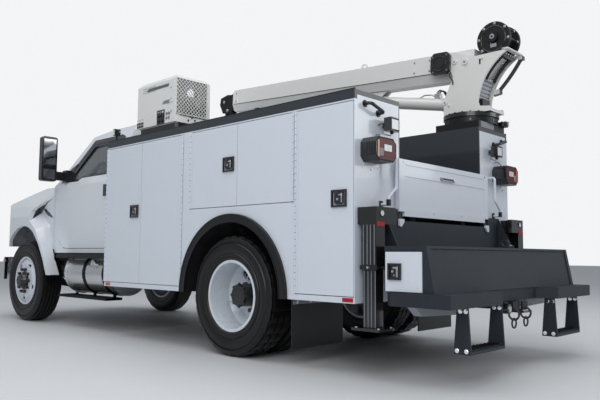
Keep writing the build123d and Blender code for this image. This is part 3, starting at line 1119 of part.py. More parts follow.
# Welder and generator on the left pack: chamfered housing on two rails
with BuildPart() as welder:
    block(WELDER_X, WELDER_Y, WELDER_Z)
    chamfer(welder.edges().filter_by(Axis.X).group_by(Axis.Z)[-1], length=45)
    chamfer(welder.faces().sort_by(Axis.Z)[-1].edges().filter_by(Axis.Y), length=30)
    for rail_y in (WELDER_Y[0] + 25, WELDER_Y[1] - 65):
        block((WELDER_X[0] + 30, WELDER_X[1] - 30), (rail_y, rail_y + 40), (BODY_TOP + SEAT_GAP, WELDER_Z[0]))
    # Louvre slots, socket panel and the mesh grille's recess
    for slot in range(3):
        block((WELDER_X[0] + 330, WELDER_X[0] + 560), (WELDER_Y[1] - 8, WELDER_Y[1] + 1),
              (WELDER_Z[1] - 120 + 22 * slot, WELDER_Z[1] - 110 + 22 * slot), mode=Mode.SUBTRACT)
    block((WELDER_X[0] + 30, WELDER_X[0] + 130), (WELDER_Y[1] - 6, WELDER_Y[1] + 1),
          (WELDER_Z[0] + 60, WELDER_Z[0] + 200), mode=Mode.SUBTRACT)
    block((WELDER_X[0] - 1, WELDER_X[0] + 14), (WELDER_Y[0] + 55, WELDER_Y[1] - 55),
          (WELDER_Z[0] + 60, WELDER_Z[1] - 70), mode=Mode.SUBTRACT)
save(welder, "welder")

# Crane base on the right pack: plinth, slewing ring and its motor
RING_LOW = BODY_TOP + CRANE_BASE_HEIGHT
with BuildPart() as crane_base:
    block((station(-1322), station(-872)), (CRANE_Y - 235, CRANE_Y + 270), (BODY_TOP + SEAT_GAP, RING_LOW))
    rod((CRANE_X, CRANE_Y, (RING_LOW + SLEW_TOP) / 2), "z", SLEW_RADIUS - 12, SLEW_TOP - RING_LOW)
    rod((CRANE_X - 232, CRANE_Y - 200, RING_LOW + 22), "z", 48, 44)
save(crane_base, "crane_base")

# Gooseneck mast: turning base, two curved plates, webs, pivot pins and the valve stack
with BuildPart() as crane_mast:
    rod((CRANE_X, CRANE_Y, SLEW_TOP + SEAT_GAP + 20), "z", SLEW_RADIUS, 40)
    foot_z = SLEW_TOP + SEAT_GAP + 40
    for side in (1, -1):
        plate_y = sorted((CRANE_Y + side * PLATE_HALF, CRANE_Y + side * (PLATE_HALF - PLATE_WALL)))
        with BuildSketch(Plane.XZ.offset(-plate_y[1])):
            with BuildLine():
                Polyline((station(-1372), foot_z), (station(-882), foot_z), (station(-884), 2364),
                         (station(-912), 2412), (station(-990), 2575), (station(-972), 2622),
                         (station(-852), 2838), (station(-953), 2827), (station(-1136), 2758),
                         (station(-1219), 2735), (station(-1562), 2735))
                ThreePointArc((station(-1562), 2735), (station(-1362), 2572), (station(-1248), 2290))
                Polyline((station(-1248), 2290), (station(-1262), 2250), (station(-1368), 2236),
                         (station(-1372), foot_z))
            make_face()
        extrude(amount=PLATE_WALL)
    inner = (CRANE_Y - PLATE_HALF + PLATE_WALL, CRANE_Y + PLATE_HALF - PLATE_WALL)
    with BuildSketch(Plane.XZ.offset(-inner[1])):
        with BuildLine():
            ThreePointArc((station(-1440), 2700), (station(-1292), 2560), (station(-1188), 2290))
            Line((station(-1188), 2290), (station(-1168), 2290))
            ThreePointArc((station(-1168), 2290), (station(-1272), 2560), (station(-1410), 2700))
            Line((station(-1410), 2700), (station(-1440), 2700))
        make_face()
    extrude(amount=inner[1] - inner[0])
    block((station(-1370), station(-1168)), inner, (foot_z, foot_z + 30))
    block((station(-1188), station(-1168)), inner, (foot_z + 20, 2295))
    block((station(-900), station(-884)), inner, (foot_z, foot_z + 50))
    # Square cover outside the left plate, at the boom's root
    cover_low, cover_high = BOOM_UNDER + 55, BOOM_UNDER + BOOM_HEIGHT - 4
    cut = COVER_CORNER
    boom_plate([(150, cover_low + cut), (150, cover_high - cut), (150 + cut, cover_high), (360 - cut, cover_high),
                (360, cover_high - cut), (360, cover_low + cut), (360 - cut, cover_low), (150 + cut, cover_low)],
               (CRANE_Y + PLATE_HALF - 2, CRANE_Y + PLATE_HALF + 36))
    boss_x, boss_z = boom_place(255, (cover_low + cover_high) / 2)
    rod((boss_x, CRANE_Y + PLATE_HALF + 38, boss_z), "y", 46, 8)
    # Cross flange over the rear tips of the plates
    block((station(-1562), station(-1520)), (CRANE_Y - PLATE_HALF - 14, CRANE_Y + PLATE_HALF + 14), (2735, 2749))
    # Winch saddle
    block((station(-1420), station(-1310)), inner, (WINCH_Z - WINCH_RADIUS - 40, WINCH_Z - WINCH_RADIUS - SEAT_GAP))
    # Boom pivot pin and the lift cylinder's lower pin
    rod((LIFT_PIVOT[0], CRANE_Y, LIFT_PIVOT[1]), "y", PIVOT_RADIUS, 2 * PLATE_HALF + 24)
    rod((CYL_BASE[0], CRANE_Y, CYL_BASE[1]), "y", CYL_PIN_RADIUS, 2 * PLATE_HALF + 16)
    # Valve coils and their block in the open channel behind the web
    for coil_x, coil_z in VALVE_COILS:
        rod((station(coil_x), CRANE_Y, coil_z), "y", VALVE_COIL_RADIUS, 2 * (PLATE_HALF - PLATE_WALL) - 40)
    block((station(-1262), station(-1190)), (CRANE_Y - 70, CRANE_Y + 70), (2268, 2335))
    # Hoses held in two clamps outside the right plate's rear edge
    for hose in range(3):
        hose_y = CRANE_Y - PLATE_HALF - 12 - 19 * hose
        with BuildLine() as path:
            ThreePointArc((station(-1545), hose_y, 2722), (station(-1428), hose_y, 2562), (station(-1300), hose_y, 2430))
        with BuildSketch(Plane(origin=path.line @ 0, z_dir=path.line % 0)):
            Circle(HOSE_RADIUS)
        sweep()
    hose_span = (CRANE_Y - PLATE_HALF - 64, CRANE_Y - PLATE_HALF + 2)
    block((station(-1560), station(-1520)), hose_span, (2700, 2737))
    side_plate([(station(-1250), 2400), (station(-1330), 2410), (station(-1330), 2452), (station(-1250), 2450)],
               hose_span)
save(crane_mast, "crane_mast")

# Winch between the mast's plates: two flanges, drum and motor caps
with BuildPart() as winch:
    middle = (WINCH_X, CRANE_Y, WINCH_Z)
    rod(middle, "y", WINCH_RADIUS - 55, 2 * WINCH_HALF)
    for side in (1, -1):
        rod((WINCH_X, CRANE_Y + side * (WINCH_HALF - 16), WINCH_Z), "y", WINCH_RADIUS, 32)
    rod((WINCH_X, CRANE_Y + WINCH_HALF + 12, WINCH_Z + 18), "y", 52, 26)
    rod((WINCH_X, CRANE_Y - WINCH_HALF - 40, WINCH_Z + 18), "y", 60, 82)
save(winch, "winch")


def boom_section(inset):
    """The boom's six-sided section: upright upper flanks over inward-folded lower ones."""
    top, fold, bottom = BOOM_HEIGHT + BOOM_UNDER, BOOM_UNDER + BOOM_FOLD, BOOM_UNDER
    right = [(BOOM_HALF - inset, top - inset), (BOOM_HALF - inset, fold),
             (BOOM_FOOT_HALF - inset * 0.8, bottom + inset)]
    return right + [(-across, up) for across, up in reversed(right)]


lug_up = BOOM_UNDER - CYL_LUG_DROP
# Outer boom: folded box with pivot bosses, lift lug, side cover, eye and wear pads
with BuildPart() as boom_outer:
    boom_bar(boom_section(0), (BOOM_BACK, BOOM_FRONT))
    boom_bar(boom_section(BOOM_WALL), (90, BOOM_FRONT + 1), mode=Mode.SUBTRACT)
    for side in (1, -1):
        boss = (BOOM_HALF - 2, PLATE_HALF - PLATE_WALL - SEAT_GAP)
        rod((LIFT_PIVOT[0], CRANE_Y + side * sum(boss) / 2, LIFT_PIVOT[1]), "y", PIVOT_BOSS, boss[1] - boss[0])
        boom_plate([(CYL_LUG_ALONG - 210, BOOM_UNDER + 4), (CYL_LUG_ALONG - 60, lug_up - 30),
                    (CYL_LUG_ALONG + 45, lug_up - 30), (CYL_LUG_ALONG + 130, BOOM_UNDER + 4)],
                   (CRANE_Y + side * LUG_GAP_HALF, CRANE_Y + side * (LUG_GAP_HALF + 16)))
    rod((LIFT_PIVOT[0], CRANE_Y, LIFT_PIVOT[1]), "y", PIVOT_RADIUS + SEAT_GAP, 2 * PLATE_HALF, mode=Mode.SUBTRACT)
    # Lifting eye on top
    eye = boom_place(1330, BOOM_UNDER + BOOM_HEIGHT + 35)
    rod((eye[0], CRANE_Y, eye[1]), "y", 42, 18)
    rod((eye[0], CRANE_Y, eye[1] + 4), "y", 24, 20, mode=Mode.SUBTRACT)
save(boom_outer, "boom_outer")

stage_inset = BOOM_WALL + STAGE_GAP
# First sliding stage, hollow, with a collar at its mouth
with BuildPart() as boom_stage:
    boom_bar(boom_section(stage_inset), (STAGE_START, BOOM_FRONT + STAGE_SHOW))
    # Wear pads at its rear end
    boom_bar(boom_section(BOOM_WALL + SEAT_GAP), (STAGE_START, STAGE_START + PAD_LENGTH))
    boom_bar(boom_section(stage_inset + STAGE_WALL), (STAGE_START - 1, BOOM_FRONT + STAGE_SHOW + 1),
             mode=Mode.SUBTRACT)
save(boom_stage, "boom_stage")

# Second stage with the sheave head and the hook
with BuildPart() as boom_head:
    tip_inset = stage_inset + STAGE_WALL + STAGE_GAP
    tip = BOOM_FRONT + STAGE_SHOW
    tip_start = STAGE_START + 60
    boom_bar(boom_section(tip_inset), (tip_start, tip + 40))
    # Wear pads at its rear end
    boom_bar(boom_section(stage_inset + STAGE_WALL + SEAT_GAP), (tip_start, tip_start + PAD_LENGTH))
    boom_bar(boom_section(tip_inset + TIP_WALL), (tip_start - 1, tip), mode=Mode.SUBTRACT)
    for side in (1, -1):
        head_y = (CRANE_Y + side * 44, CRANE_Y + side * 58)
        boom_plate([(tip + 20, 84), (tip + 150, 96), (tip + 285, 60), (tip + 300, -30), (tip + 230, -150),
                    (tip + 110, -160), (tip + 20, -100)], head_y)
    boom_bar([(-58, 84), (58, 84), (58, -110), (-58, -110)], (tip + 8, tip + 34))
    for sheave_along, sheave_up, radius in ((tip + 205, 0, 88), (tip + 130, -120, 30)):
        spot = boom_place(sheave_along, sheave_up)
        rod((spot[0], CRANE_Y, spot[1]), "y", radius, 34)
        rod((spot[0], CRANE_Y, spot[1]), "y", 20, 130)
    # Hook below the sheave
    hook = boom_place(tip + 205, -235)
    with BuildSketch(Plane.XZ.offset(-CRANE_Y - 14)):
        with Locations((hook[0], hook[1])):
            Circle(52)
        with Locations((hook[0] + 6, hook[1] + 4)):
            Circle(27, mode=Mode.SUBTRACT)
        with Locations((hook[0] + 42, hook[1] + 34)):
            Rectangle(58, 52, mode=Mode.SUBTRACT)
    extrude(amount=28)
    block((hook[0] - 26, hook[0] + 14), (CRANE_Y - 20, CRANE_Y + 20), (hook[1] + 36, hook[1] + 150))
save(boom_head, "boom_head")

# Lift cylinder, lying from the mast's lower pin to the lug under the boom
lug = boom_place(CYL_LUG_ALONG, lug_up)
cyl_length = math.hypot(lug[0] - CYL_BASE[0], lug[1] - CYL_BASE[1])
cyl_slope = math.atan2(lug[1] - CYL_BASE[1], lug[0] - CYL_BASE[0])


def cylinder_run(along, radius, mode=Mode.ADD):
    """A round bar on the lift cylinder's own line, between two distances from its base pin."""
    start = min(along)
    plane = Plane(origin=(CYL_BASE[0] + start * math.cos(cyl_slope), CRANE_Y,
                          CYL_BASE[1] + start * math.sin(cyl_slope)),
                  x_dir=(0, 1, 0), z_dir=(math.cos(cyl_slope), 0, math.sin(cyl_slope)))
    with BuildSketch(plane) as disc:
        Circle(radius)
    extrude(disc.sketch, amount=abs(along[1] - along[0]), mode=mode)


with BuildPart() as lift_barrel:
    cylinder_run((20, cyl_length - 150), CYL_RADIUS)
    rod((CYL_BASE[0], CRANE_Y, CYL_BASE[1]), "y", 48, 90)
    rod((CYL_BASE[0], CRANE_Y, CYL_BASE[1]), "y", CYL_PIN_RADIUS + SEAT_GAP, 130, mode=Mode.SUBTRACT)
    cylinder_run((150, cyl_length), ROD_RADIUS + SEAT_GAP, mode=Mode.SUBTRACT)
save(lift_barrel, "lift_barrel")

with BuildPart() as lift_rod:
    cylinder_run((cyl_length - ROD_LENGTH, cyl_length - 10), ROD_RADIUS)
    rod((lug[0], CRANE_Y, lug[1]), "y", 42, 2 * LUG_GAP_HALF - 2)
    rod((lug[0], CRANE_Y, lug[1]), "y", 22, 80, mode=Mode.SUBTRACT)
save(lift_rod, "lift_rod")
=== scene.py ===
import math

import bmesh
import bpy
from mathutils import Matrix, Vector


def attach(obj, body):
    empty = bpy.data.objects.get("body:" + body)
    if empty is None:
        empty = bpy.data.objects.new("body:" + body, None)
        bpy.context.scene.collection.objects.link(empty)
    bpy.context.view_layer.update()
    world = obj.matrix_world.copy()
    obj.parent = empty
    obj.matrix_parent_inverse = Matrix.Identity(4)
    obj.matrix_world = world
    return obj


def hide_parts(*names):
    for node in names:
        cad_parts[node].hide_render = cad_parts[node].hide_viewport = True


# Looks of the service crane truck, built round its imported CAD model. Metres, in the part's frame.
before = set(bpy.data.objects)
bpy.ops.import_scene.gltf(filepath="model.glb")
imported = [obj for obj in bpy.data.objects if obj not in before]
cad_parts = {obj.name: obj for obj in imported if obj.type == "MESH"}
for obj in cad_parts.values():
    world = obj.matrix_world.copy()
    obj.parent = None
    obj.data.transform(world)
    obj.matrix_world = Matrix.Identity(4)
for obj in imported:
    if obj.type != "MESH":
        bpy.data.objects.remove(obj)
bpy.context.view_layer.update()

REAR_AXLE_X = -1.426
FRONT_AXLE_X = 2.587
AXLE_Z = 0.5
SIDES = ((1, "left"), (-1, "right"))
ALONG, BACK, OUT, IN, UP = (1, 0, 0), (-1, 0, 0), (0, 1, 0), (0, -1, 0), (0, 0, 1)


def station(ahead):
    """The X of a place given as metres ahead of the rear axle."""
    return REAR_AXLE_X + ahead


BODY_REAR = station(-1.324)
BODY_LENGTH = 3.344
ARCH_Z = 0.512
PACK_INNER = 0.63
CRANE_X = station(-1.1)
CRANE_Y = -0.905


def around(count, start=0.0):
    """Cosine and sine of evenly spaced turns, from a start in radians."""
    turns = [start + 2 * math.pi * step / count for step in range(count)]
    return [(math.cos(turn), math.sin(turn)) for turn in turns]


class Nodes:
    """A short way to write a node tree."""

    def __init__(self, tree):
        self.tree = tree

    def feed(self, socket, value):
        """Link a socket into another, or set its value."""
        if isinstance(value, bpy.types.NodeSocket):
            self.tree.links.new(value, socket)
        else:
            socket.default_value = value

    def add(self, kind, **values):
        """A node, with its settings by name and its inputs as in_ and their name or number."""
        node = self.tree.nodes.new(kind)
        for name, value in values.items():
            if name.startswith("in_"):
                key = name[3:]
                self.feed(node.inputs[int(key) if key.isdigit() else key], value)
            else:
                setattr(node, name, value)
        return node

    def math(self, operation, first, second=0.0):
        return self.add("ShaderNodeMath", operation=operation, in_0=first, in_1=second).outputs[0]

    def vector(self, operation, first, second=(0.0, 0.0, 0.0)):
        return self.add("ShaderNodeVectorMath", operation=operation, in_0=first, in_1=second).outputs[0]

    def mix(self, share, first, second):
        """A colour between two colours."""
        return self.add("ShaderNodeMix", data_type="RGBA", in_0=share, in_6=first, in_7=second).outputs[2]

    def blend(self, share, first, second):
        """A number between two numbers."""
        return self.math("ADD", self.math("MULTIPLY", share, second - first), first)


def in_box(nodes, place, low, high):
    """1 inside a box, 0 outside."""
    centre = tuple((a + b) / 2 for a, b in zip(low, high))
    half = tuple((b - a) / 2 for a, b in zip(low, high))
    away = nodes.vector("ABSOLUTE", nodes.vector("SUBTRACT", place, centre))
    over = nodes.vector("SUBTRACT", away, half)
    split = nodes.add("ShaderNodeSeparateXYZ", in_0=over)
    most = nodes.math("MAXIMUM", nodes.math("MAXIMUM", split.outputs[0], split.outputs[1]), split.outputs[2])
    return nodes.math("LESS_THAN", most, 0.0)


def in_ring(nodes, place, centre, radius, deep):
    """1 inside an upright disc about a wheel's axle, 0 outside: centre (x, z), a span of |y|."""
    split = nodes.add("ShaderNodeSeparateXYZ", in_0=place)
    across = nodes.math("SUBTRACT", split.outputs[0], centre[0])
    up = nodes.math("SUBTRACT", split.outputs[2], centre[1])
    far = nodes.math("SQRT", nodes.math("ADD", nodes.math("MULTIPLY", across, across), nodes.math("MULTIPLY", up, up)))
    inside = nodes.math("LESS_THAN", far, radius)
    out = nodes.math("ABSOLUTE", split.outputs[1])
    span = nodes.math("MULTIPLY", nodes.math("GREATER_THAN", out, deep[0]), nodes.math("LESS_THAN", out, deep[1]))
    return nodes.math("MULTIPLY", inside, span)


def shade(colour, change):
    """A colour made darker or paler, with its alpha."""
    return tuple(min(1.0, c * change) for c in colour) + (1.0,)


finishes = {}


def finish(name, colour, rough, metallic=0.0, vary=0.05, grain=5.0, coat=0.0, bump=0.0, bump_grain=260.0,
           brush=None, shine=0.5, spots=(), **sockets):
    """A procedural material: a base colour with soft mottling, and spots of other finishes by place.

    A spot is (mask function, its arguments, colour, roughness).
    """
    material = finishes[name] = bpy.data.materials.new(name)
    material.use_nodes = True
    tree = material.node_tree
    shader = tree.nodes["Principled BSDF"]
    nodes = Nodes(tree)
    place = nodes.add("ShaderNodeTexCoord").outputs["Object"]
    streaks = nodes.vector("MULTIPLY", place, brush) if brush else place
    cloud = nodes.add("ShaderNodeTexNoise", in_Vector=streaks, in_Scale=grain, in_Detail=4.0).outputs[0]
    base = nodes.mix(cloud, shade(colour, 1 - vary), shade(colour, 1 + vary))
    roughness = nodes.blend(cloud, max(0.02, rough - ROUGH_SPREAD), min(1.0, rough + ROUGH_SPREAD))
    for mask, details, spot_colour, spot_rough in spots:
        share = mask(nodes, place, *details)
        base = nodes.mix(share, base, nodes.mix(cloud, shade(spot_colour, 1 - vary), shade(spot_colour, 1 + vary)))
        roughness = nodes.math("ADD", nodes.math("MULTIPLY", roughness, nodes.math("SUBTRACT", 1.0, share)),
                               nodes.math("MULTIPLY", share, spot_rough))
    if bump:
        fine = nodes.add("ShaderNodeTexNoise", in_Vector=place, in_Scale=bump_grain, in_Detail=2.0).outputs[0]
        raised = nodes.add("ShaderNodeBump", in_Strength=bump, in_Distance=BUMP_DEPTH, in_Height=fine)
        tree.links.new(raised.outputs[0], shader.inputs["Normal"])
    sockets = {"Base Color": base, "Roughness": roughness, "Metallic": metallic, "Coat Weight": coat,
               "Coat Roughness": COAT_ROUGHNESS, "Specular IOR Level": shine, **sockets}
    for key, value in sockets.items():
        nodes.feed(shader.inputs[key.replace("_", " ")], value)


ROUGH_SPREAD = 0.06
BUMP_DEPTH = 0.002
COAT_ROUGHNESS = 0.06
WHITE = (0.66, 0.71, 0.78)
CAB_WHITE = (0.7, 0.74, 0.79)
CRANE_WHITE = (0.74, 0.74, 0.72)
BLACK = (0.008, 0.008, 0.009)
COAT = (0.018, 0.023, 0.031)
FAR = 9.0
ALL = (-FAR, FAR)


def band(side, near, far):
    """The span of Y between two distances from the middle, on one side."""
    return tuple(sorted((side * near, side * far)))


def block(colour, rough, x=ALL, y=ALL, z=ALL):
    """A spot that fills spans of X, Y and Z."""
    return in_box, tuple(zip(x, y, z)), colour, rough


def both_sides(colour, rough, x, y, z):
    """The same spot on both sides, with a span of distance from the middle for its Y."""
    return [block(colour, rough, x, band(side, *y), z) for side, hand in SIDES]


BODY_PAINT = {"colour": WHITE, "rough": 0.22, "coat": 0.6, "vary": 0.015}
CAB_PAINT = {"colour": CAB_WHITE, "rough": 0.2, "coat": 0.7, "vary": 0.015}
CRANE_PAINT = {"colour": CRANE_WHITE, "rough": 0.3, "coat": 0.4, "vary": 0.02}
ROLLED_COAT = {"colour": COAT, "rough": 0.55, "vary": 0.12, "bump": 0.5, "bump_grain": 420.0, "shine": 0.35}
finish("white_paint", **BODY_PAINT)
finish("crane_white", **CRANE_PAINT)
finish("black_gloss", BLACK, 0.16, coat=0.5, vary=0.2)
finish("black_satin", BLACK, 0.42, vary=0.2, shine=0.35)
finish("bed_coat", **ROLLED_COAT)
finish("chassis_paint", (0.01, 0.01, 0.011), 0.5, vary=0.3, grain=9.0, shine=0.3)
finish("tyre_rubber", (0.006, 0.006, 0.007), 0.36, vary=0.2, grain=14.0, bump=0.15, bump_grain=700.0, shine=0.35)
finish("flare_rubber", (0.008, 0.008, 0.009), 0.34, vary=0.2, bump=0.1, bump_grain=500.0, shine=0.4)
finish("chrome", (0.82, 0.83, 0.85), 0.09, metallic=1.0, vary=0.03)
finish("steel", (0.6, 0.61, 0.63), 0.28, metallic=1.0, vary=0.08, grain=20.0)
finish("cast_steel", (0.03, 0.03, 0.033), 0.6, vary=0.3, grain=18.0, bump=0.3)
finish("grey_paint", (0.2, 0.22, 0.25), 0.4, vary=0.08)
finish("hose_rubber", BLACK, 0.38, vary=0.2, grain=30.0)
finish("interior", (0.03, 0.03, 0.033), 0.6, vary=0.15, bump=0.25, bump_grain=600.0)
finish("seat_cloth", (0.04, 0.042, 0.048), 0.9, vary=0.25, grain=90.0, bump=0.5, bump_grain=900.0, Sheen_Weight=0.3)
finish("red_lens", (0.085, 0.002, 0.004), 0.3, coat=0.1, vary=0.25, grain=60.0, shine=0.2)
finish("reflector", (0.36, 0.012, 0.016), 0.35, vary=0.15, grain=80.0, shine=0.3)
finish("white_lens", (0.7, 0.72, 0.74), 0.15, coat=0.5, vary=0.1, grain=60.0)
finish("amber_lens", (0.45, 0.13, 0.02), 0.15, coat=0.5, vary=0.1, grain=60.0)
finish("mirror_glass", (0.6, 0.63, 0.66), 0.05, metallic=1.0, vary=0.02)
finish("glass", (0.3, 0.33, 0.34), 0.04, vary=0.03, Transmission_Weight=0.9, IOR=1.45)

# Latches of the pack doors that have one: metres ahead of the rear axle, and Z
LATCH_SPOTS = {"a": (1.475, 1.265), "c": (0.038, 1.605), "e": (-1.185, 1.248)}


def latch_spot(ahead, z):
    """The black latch that stands out of a pack door."""
    return both_sides(BLACK, 0.3, (station(ahead) - 0.071, station(ahead) + 0.071), (1.181, 1.3),
                      (z - 0.064, z + 0.064))


finish("pack_paint", **BODY_PAINT, spots=[
    block(COAT, 0.5, z=(1.956, 2.1)),
    block(WHITE, 0.22, x=(-FAR, BODY_REAR + 0.001), y=(-1.15, 1.15), z=(1.9, 1.988)),
    block(COAT, 0.42, y=(-PACK_INNER - 0.012, PACK_INNER + 0.012), z=(0.4, 2.1)),
    (in_ring, ((REAR_AXLE_X, ARCH_Z), 0.6025, (0.0, 1.1815)), BLACK, 0.55),
    block(BLACK, 0.5, y=(-1.17, 1.17), z=(0.4, 0.5088))])
for name, spot in LATCH_SPOTS.items():
    finish(f"door_paint_{name}", **BODY_PAINT, spots=latch_spot(*spot))
finish("bench_door_paint", **BODY_PAINT, spots=both_sides(BLACK, 0.3, (-3.119, -3.012), (1.1494, 1.3), (0.681, 0.793)))
finish("bench_paint", **ROLLED_COAT, spots=both_sides(
    (0.3, 0.33, 0.36), 0.35, (station(-1.766), station(-1.699)), (0.559, 1.106), (0.42, 0.5099)))


def wheel_paint(name, x, outer, drum):
    """White steel with a black hub, drum and wheel nuts."""
    finish(name, (0.64, 0.69, 0.75), 0.28, coat=0.4, vary=0.04, grain=12.0, spots=[
        (in_ring, ((x, AXLE_Z), 0.118, (0.0, 2.0)), BLACK, 0.35),
        (in_ring, ((x, AXLE_Z), 0.2065, (0.0, drum)), BLACK, 0.5),
        (in_ring, ((x, AXLE_Z), 0.172, (outer + 0.0008, 2.0)), BLACK, 0.35)])


wheel_paint("front_wheel_paint", FRONT_AXLE_X, 1.147, 1.1345)
wheel_paint("rear_wheel_paint", REAR_AXLE_X, 0.8895, 0.8652)
finish("cab_door_paint", **CAB_PAINT, spots=[
    block(BLACK, 0.25, z=(1.7355, 3.0)), block(BLACK, 0.25, x=(station(3.03), station(3.45)), z=(1.7, 1.74)),
    *both_sides(BLACK, 0.3, (station(2.32), station(2.41)), (1.0008, 1.2), (1.47, 1.63)),
    *both_sides(BLACK, 0.32, (station(3.27), station(3.39)), (1.004, 1.4), (1.68, 2.25))])
finish("shell_paint", **CAB_PAINT, spots=[
    block(BLACK, 0.5, y=(-0.938, 0.938), z=(0.5, 1.6)),
    block(CAB_WHITE, 0.2, x=(station(3.3), FAR), z=(0.5, 0.8505))])
finish("hood_paint", **CAB_PAINT, spots=[block(BLACK, 0.5, x=(-FAR, 3.3), y=(-1.04, 1.04), z=(0.7, 1.24))])
finish("grille_finish", BLACK, 0.2, coat=0.4, vary=0.2, spots=both_sides(
    (0.62, 0.65, 0.68), 0.08, ALL, (0.553, 0.9), (1.0, 1.4)))
finish("lamp_black", BLACK, 0.22, coat=0.4, vary=0.2)
TANK_STRAPS = (2.29, 2.72, 3.14)
finish("tank_metal", (0.66, 0.67, 0.69), 0.24, metallic=0.9, vary=0.1, grain=6.0,
                    brush=(60.0, 1.0, 1.0), spots=[
    *(block(BLACK, 0.4, x=(station(strap) - 0.0285, station(strap) + 0.0285), z=(0.3, 0.9))
      for strap in TANK_STRAPS[:2]),
    # Painted shade: the tank's front end past the front strap is painted dark grey, for the end in shadow
    block((0.05, 0.055, 0.06), 0.5, x=(station(TANK_STRAPS[2]) + 0.029, FAR), z=(0.3, 0.9)),
    block(BLACK, 0.4, z=(0.3, 0.3795))])
finish("grab_paint", WHITE, 0.25, vary=0.02, coat=0.4, spots=[block(BLACK, 0.35, z=(1.7, 2.0))])
finish("mast_paint", **CRANE_PAINT, spots=[
    block(BLACK, 0.3, (CRANE_X - 0.3, CRANE_X + 0.3), (CRANE_Y - 0.3, CRANE_Y + 0.3), (2.14, 2.1906)),
    block(BLACK, 0.35, (station(-1.6), station(-1.2)), (-1.2, CRANE_Y - 0.1405), (2.36, 2.74)),
    block((0.42, 0.44, 0.47), 0.25, (station(-1.31), station(-1.19)), (CRANE_Y - 0.101, CRANE_Y + 0.101),
          (2.333, 2.545)),
    block(BLACK, 0.3, (station(-1.265), station(-1.1885)), (CRANE_Y - 0.071, CRANE_Y + 0.071), (2.262, 2.334)),
    block(BLACK, 0.28, (-2.415, -2.165), (CRANE_Y + 0.1405, -0.6), (2.58, 2.86))])
finish("welder_paint", **CRANE_PAINT, spots=[block(BLACK, 0.35, (-0.6, 0.3), (0.5, 1.25), (1.9, 2.113))])

# The nodes of the frame that have each finish; a name that ends in _ stands for its left and its right one
NODES = {
    "chassis_paint": "axles chassis_frame", "bed_coat": "bed rear_apron", "bench_paint": "bench_bumper",
    "bench_door_paint": "bench_door_", "black_satin": "boom_head cab_steps crane_base winch",
    "crane_white": "boom_outer boom_stage lift_barrel", "cab_door_paint": "cab_door_", "glass": "cab_glass door_glass_",
    "interior": "cab_interior", "shell_paint": "cab_shell", "mast_paint": "crane_mast", "flare_rubber": "flares",
    "chrome": "front_bumper lift_rod", "front_wheel_paint": "front_rim_", "rear_wheel_paint": "rear_rims_",
    "tank_metal": "fuel_tank", "grab_paint": "grab_bars", "grille_finish": "grille", "hood_paint": "hood",
    "cast_steel": "knuckle_ powertrain", "black_gloss": "outrigger_housings outrigger_leg_", "pack_paint": "pack_",
    "lamp_black": "tail_lamps", "white_paint": "tailgate pack_door_b_ pack_door_d_", "welder_paint": "welder",
    "tyre_rubber": "front_tyre_ rear_tyres_", "door_paint_a": "pack_door_a_", "door_paint_c": "pack_door_c_",
    "door_paint_e": "pack_door_e_"}
for look, names in NODES.items():
    for name in names.split():
        for node in (name + "left", name + "right") if name.endswith("_") else (name,):
            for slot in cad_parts[node].material_slots:
                slot.link = "OBJECT"
                slot.material = finishes[look]


def square_to(way):
    """Two unit vectors at right angles to a unit vector and to each other."""
    across = way.orthogonal().normalized()
    return across, way.cross(across)


def new_object(name, data):
    """A new object, put in the scene."""
    shape = bpy.data.objects.new(name, data)
    bpy.context.scene.collection.objects.link(shape)
    return shape


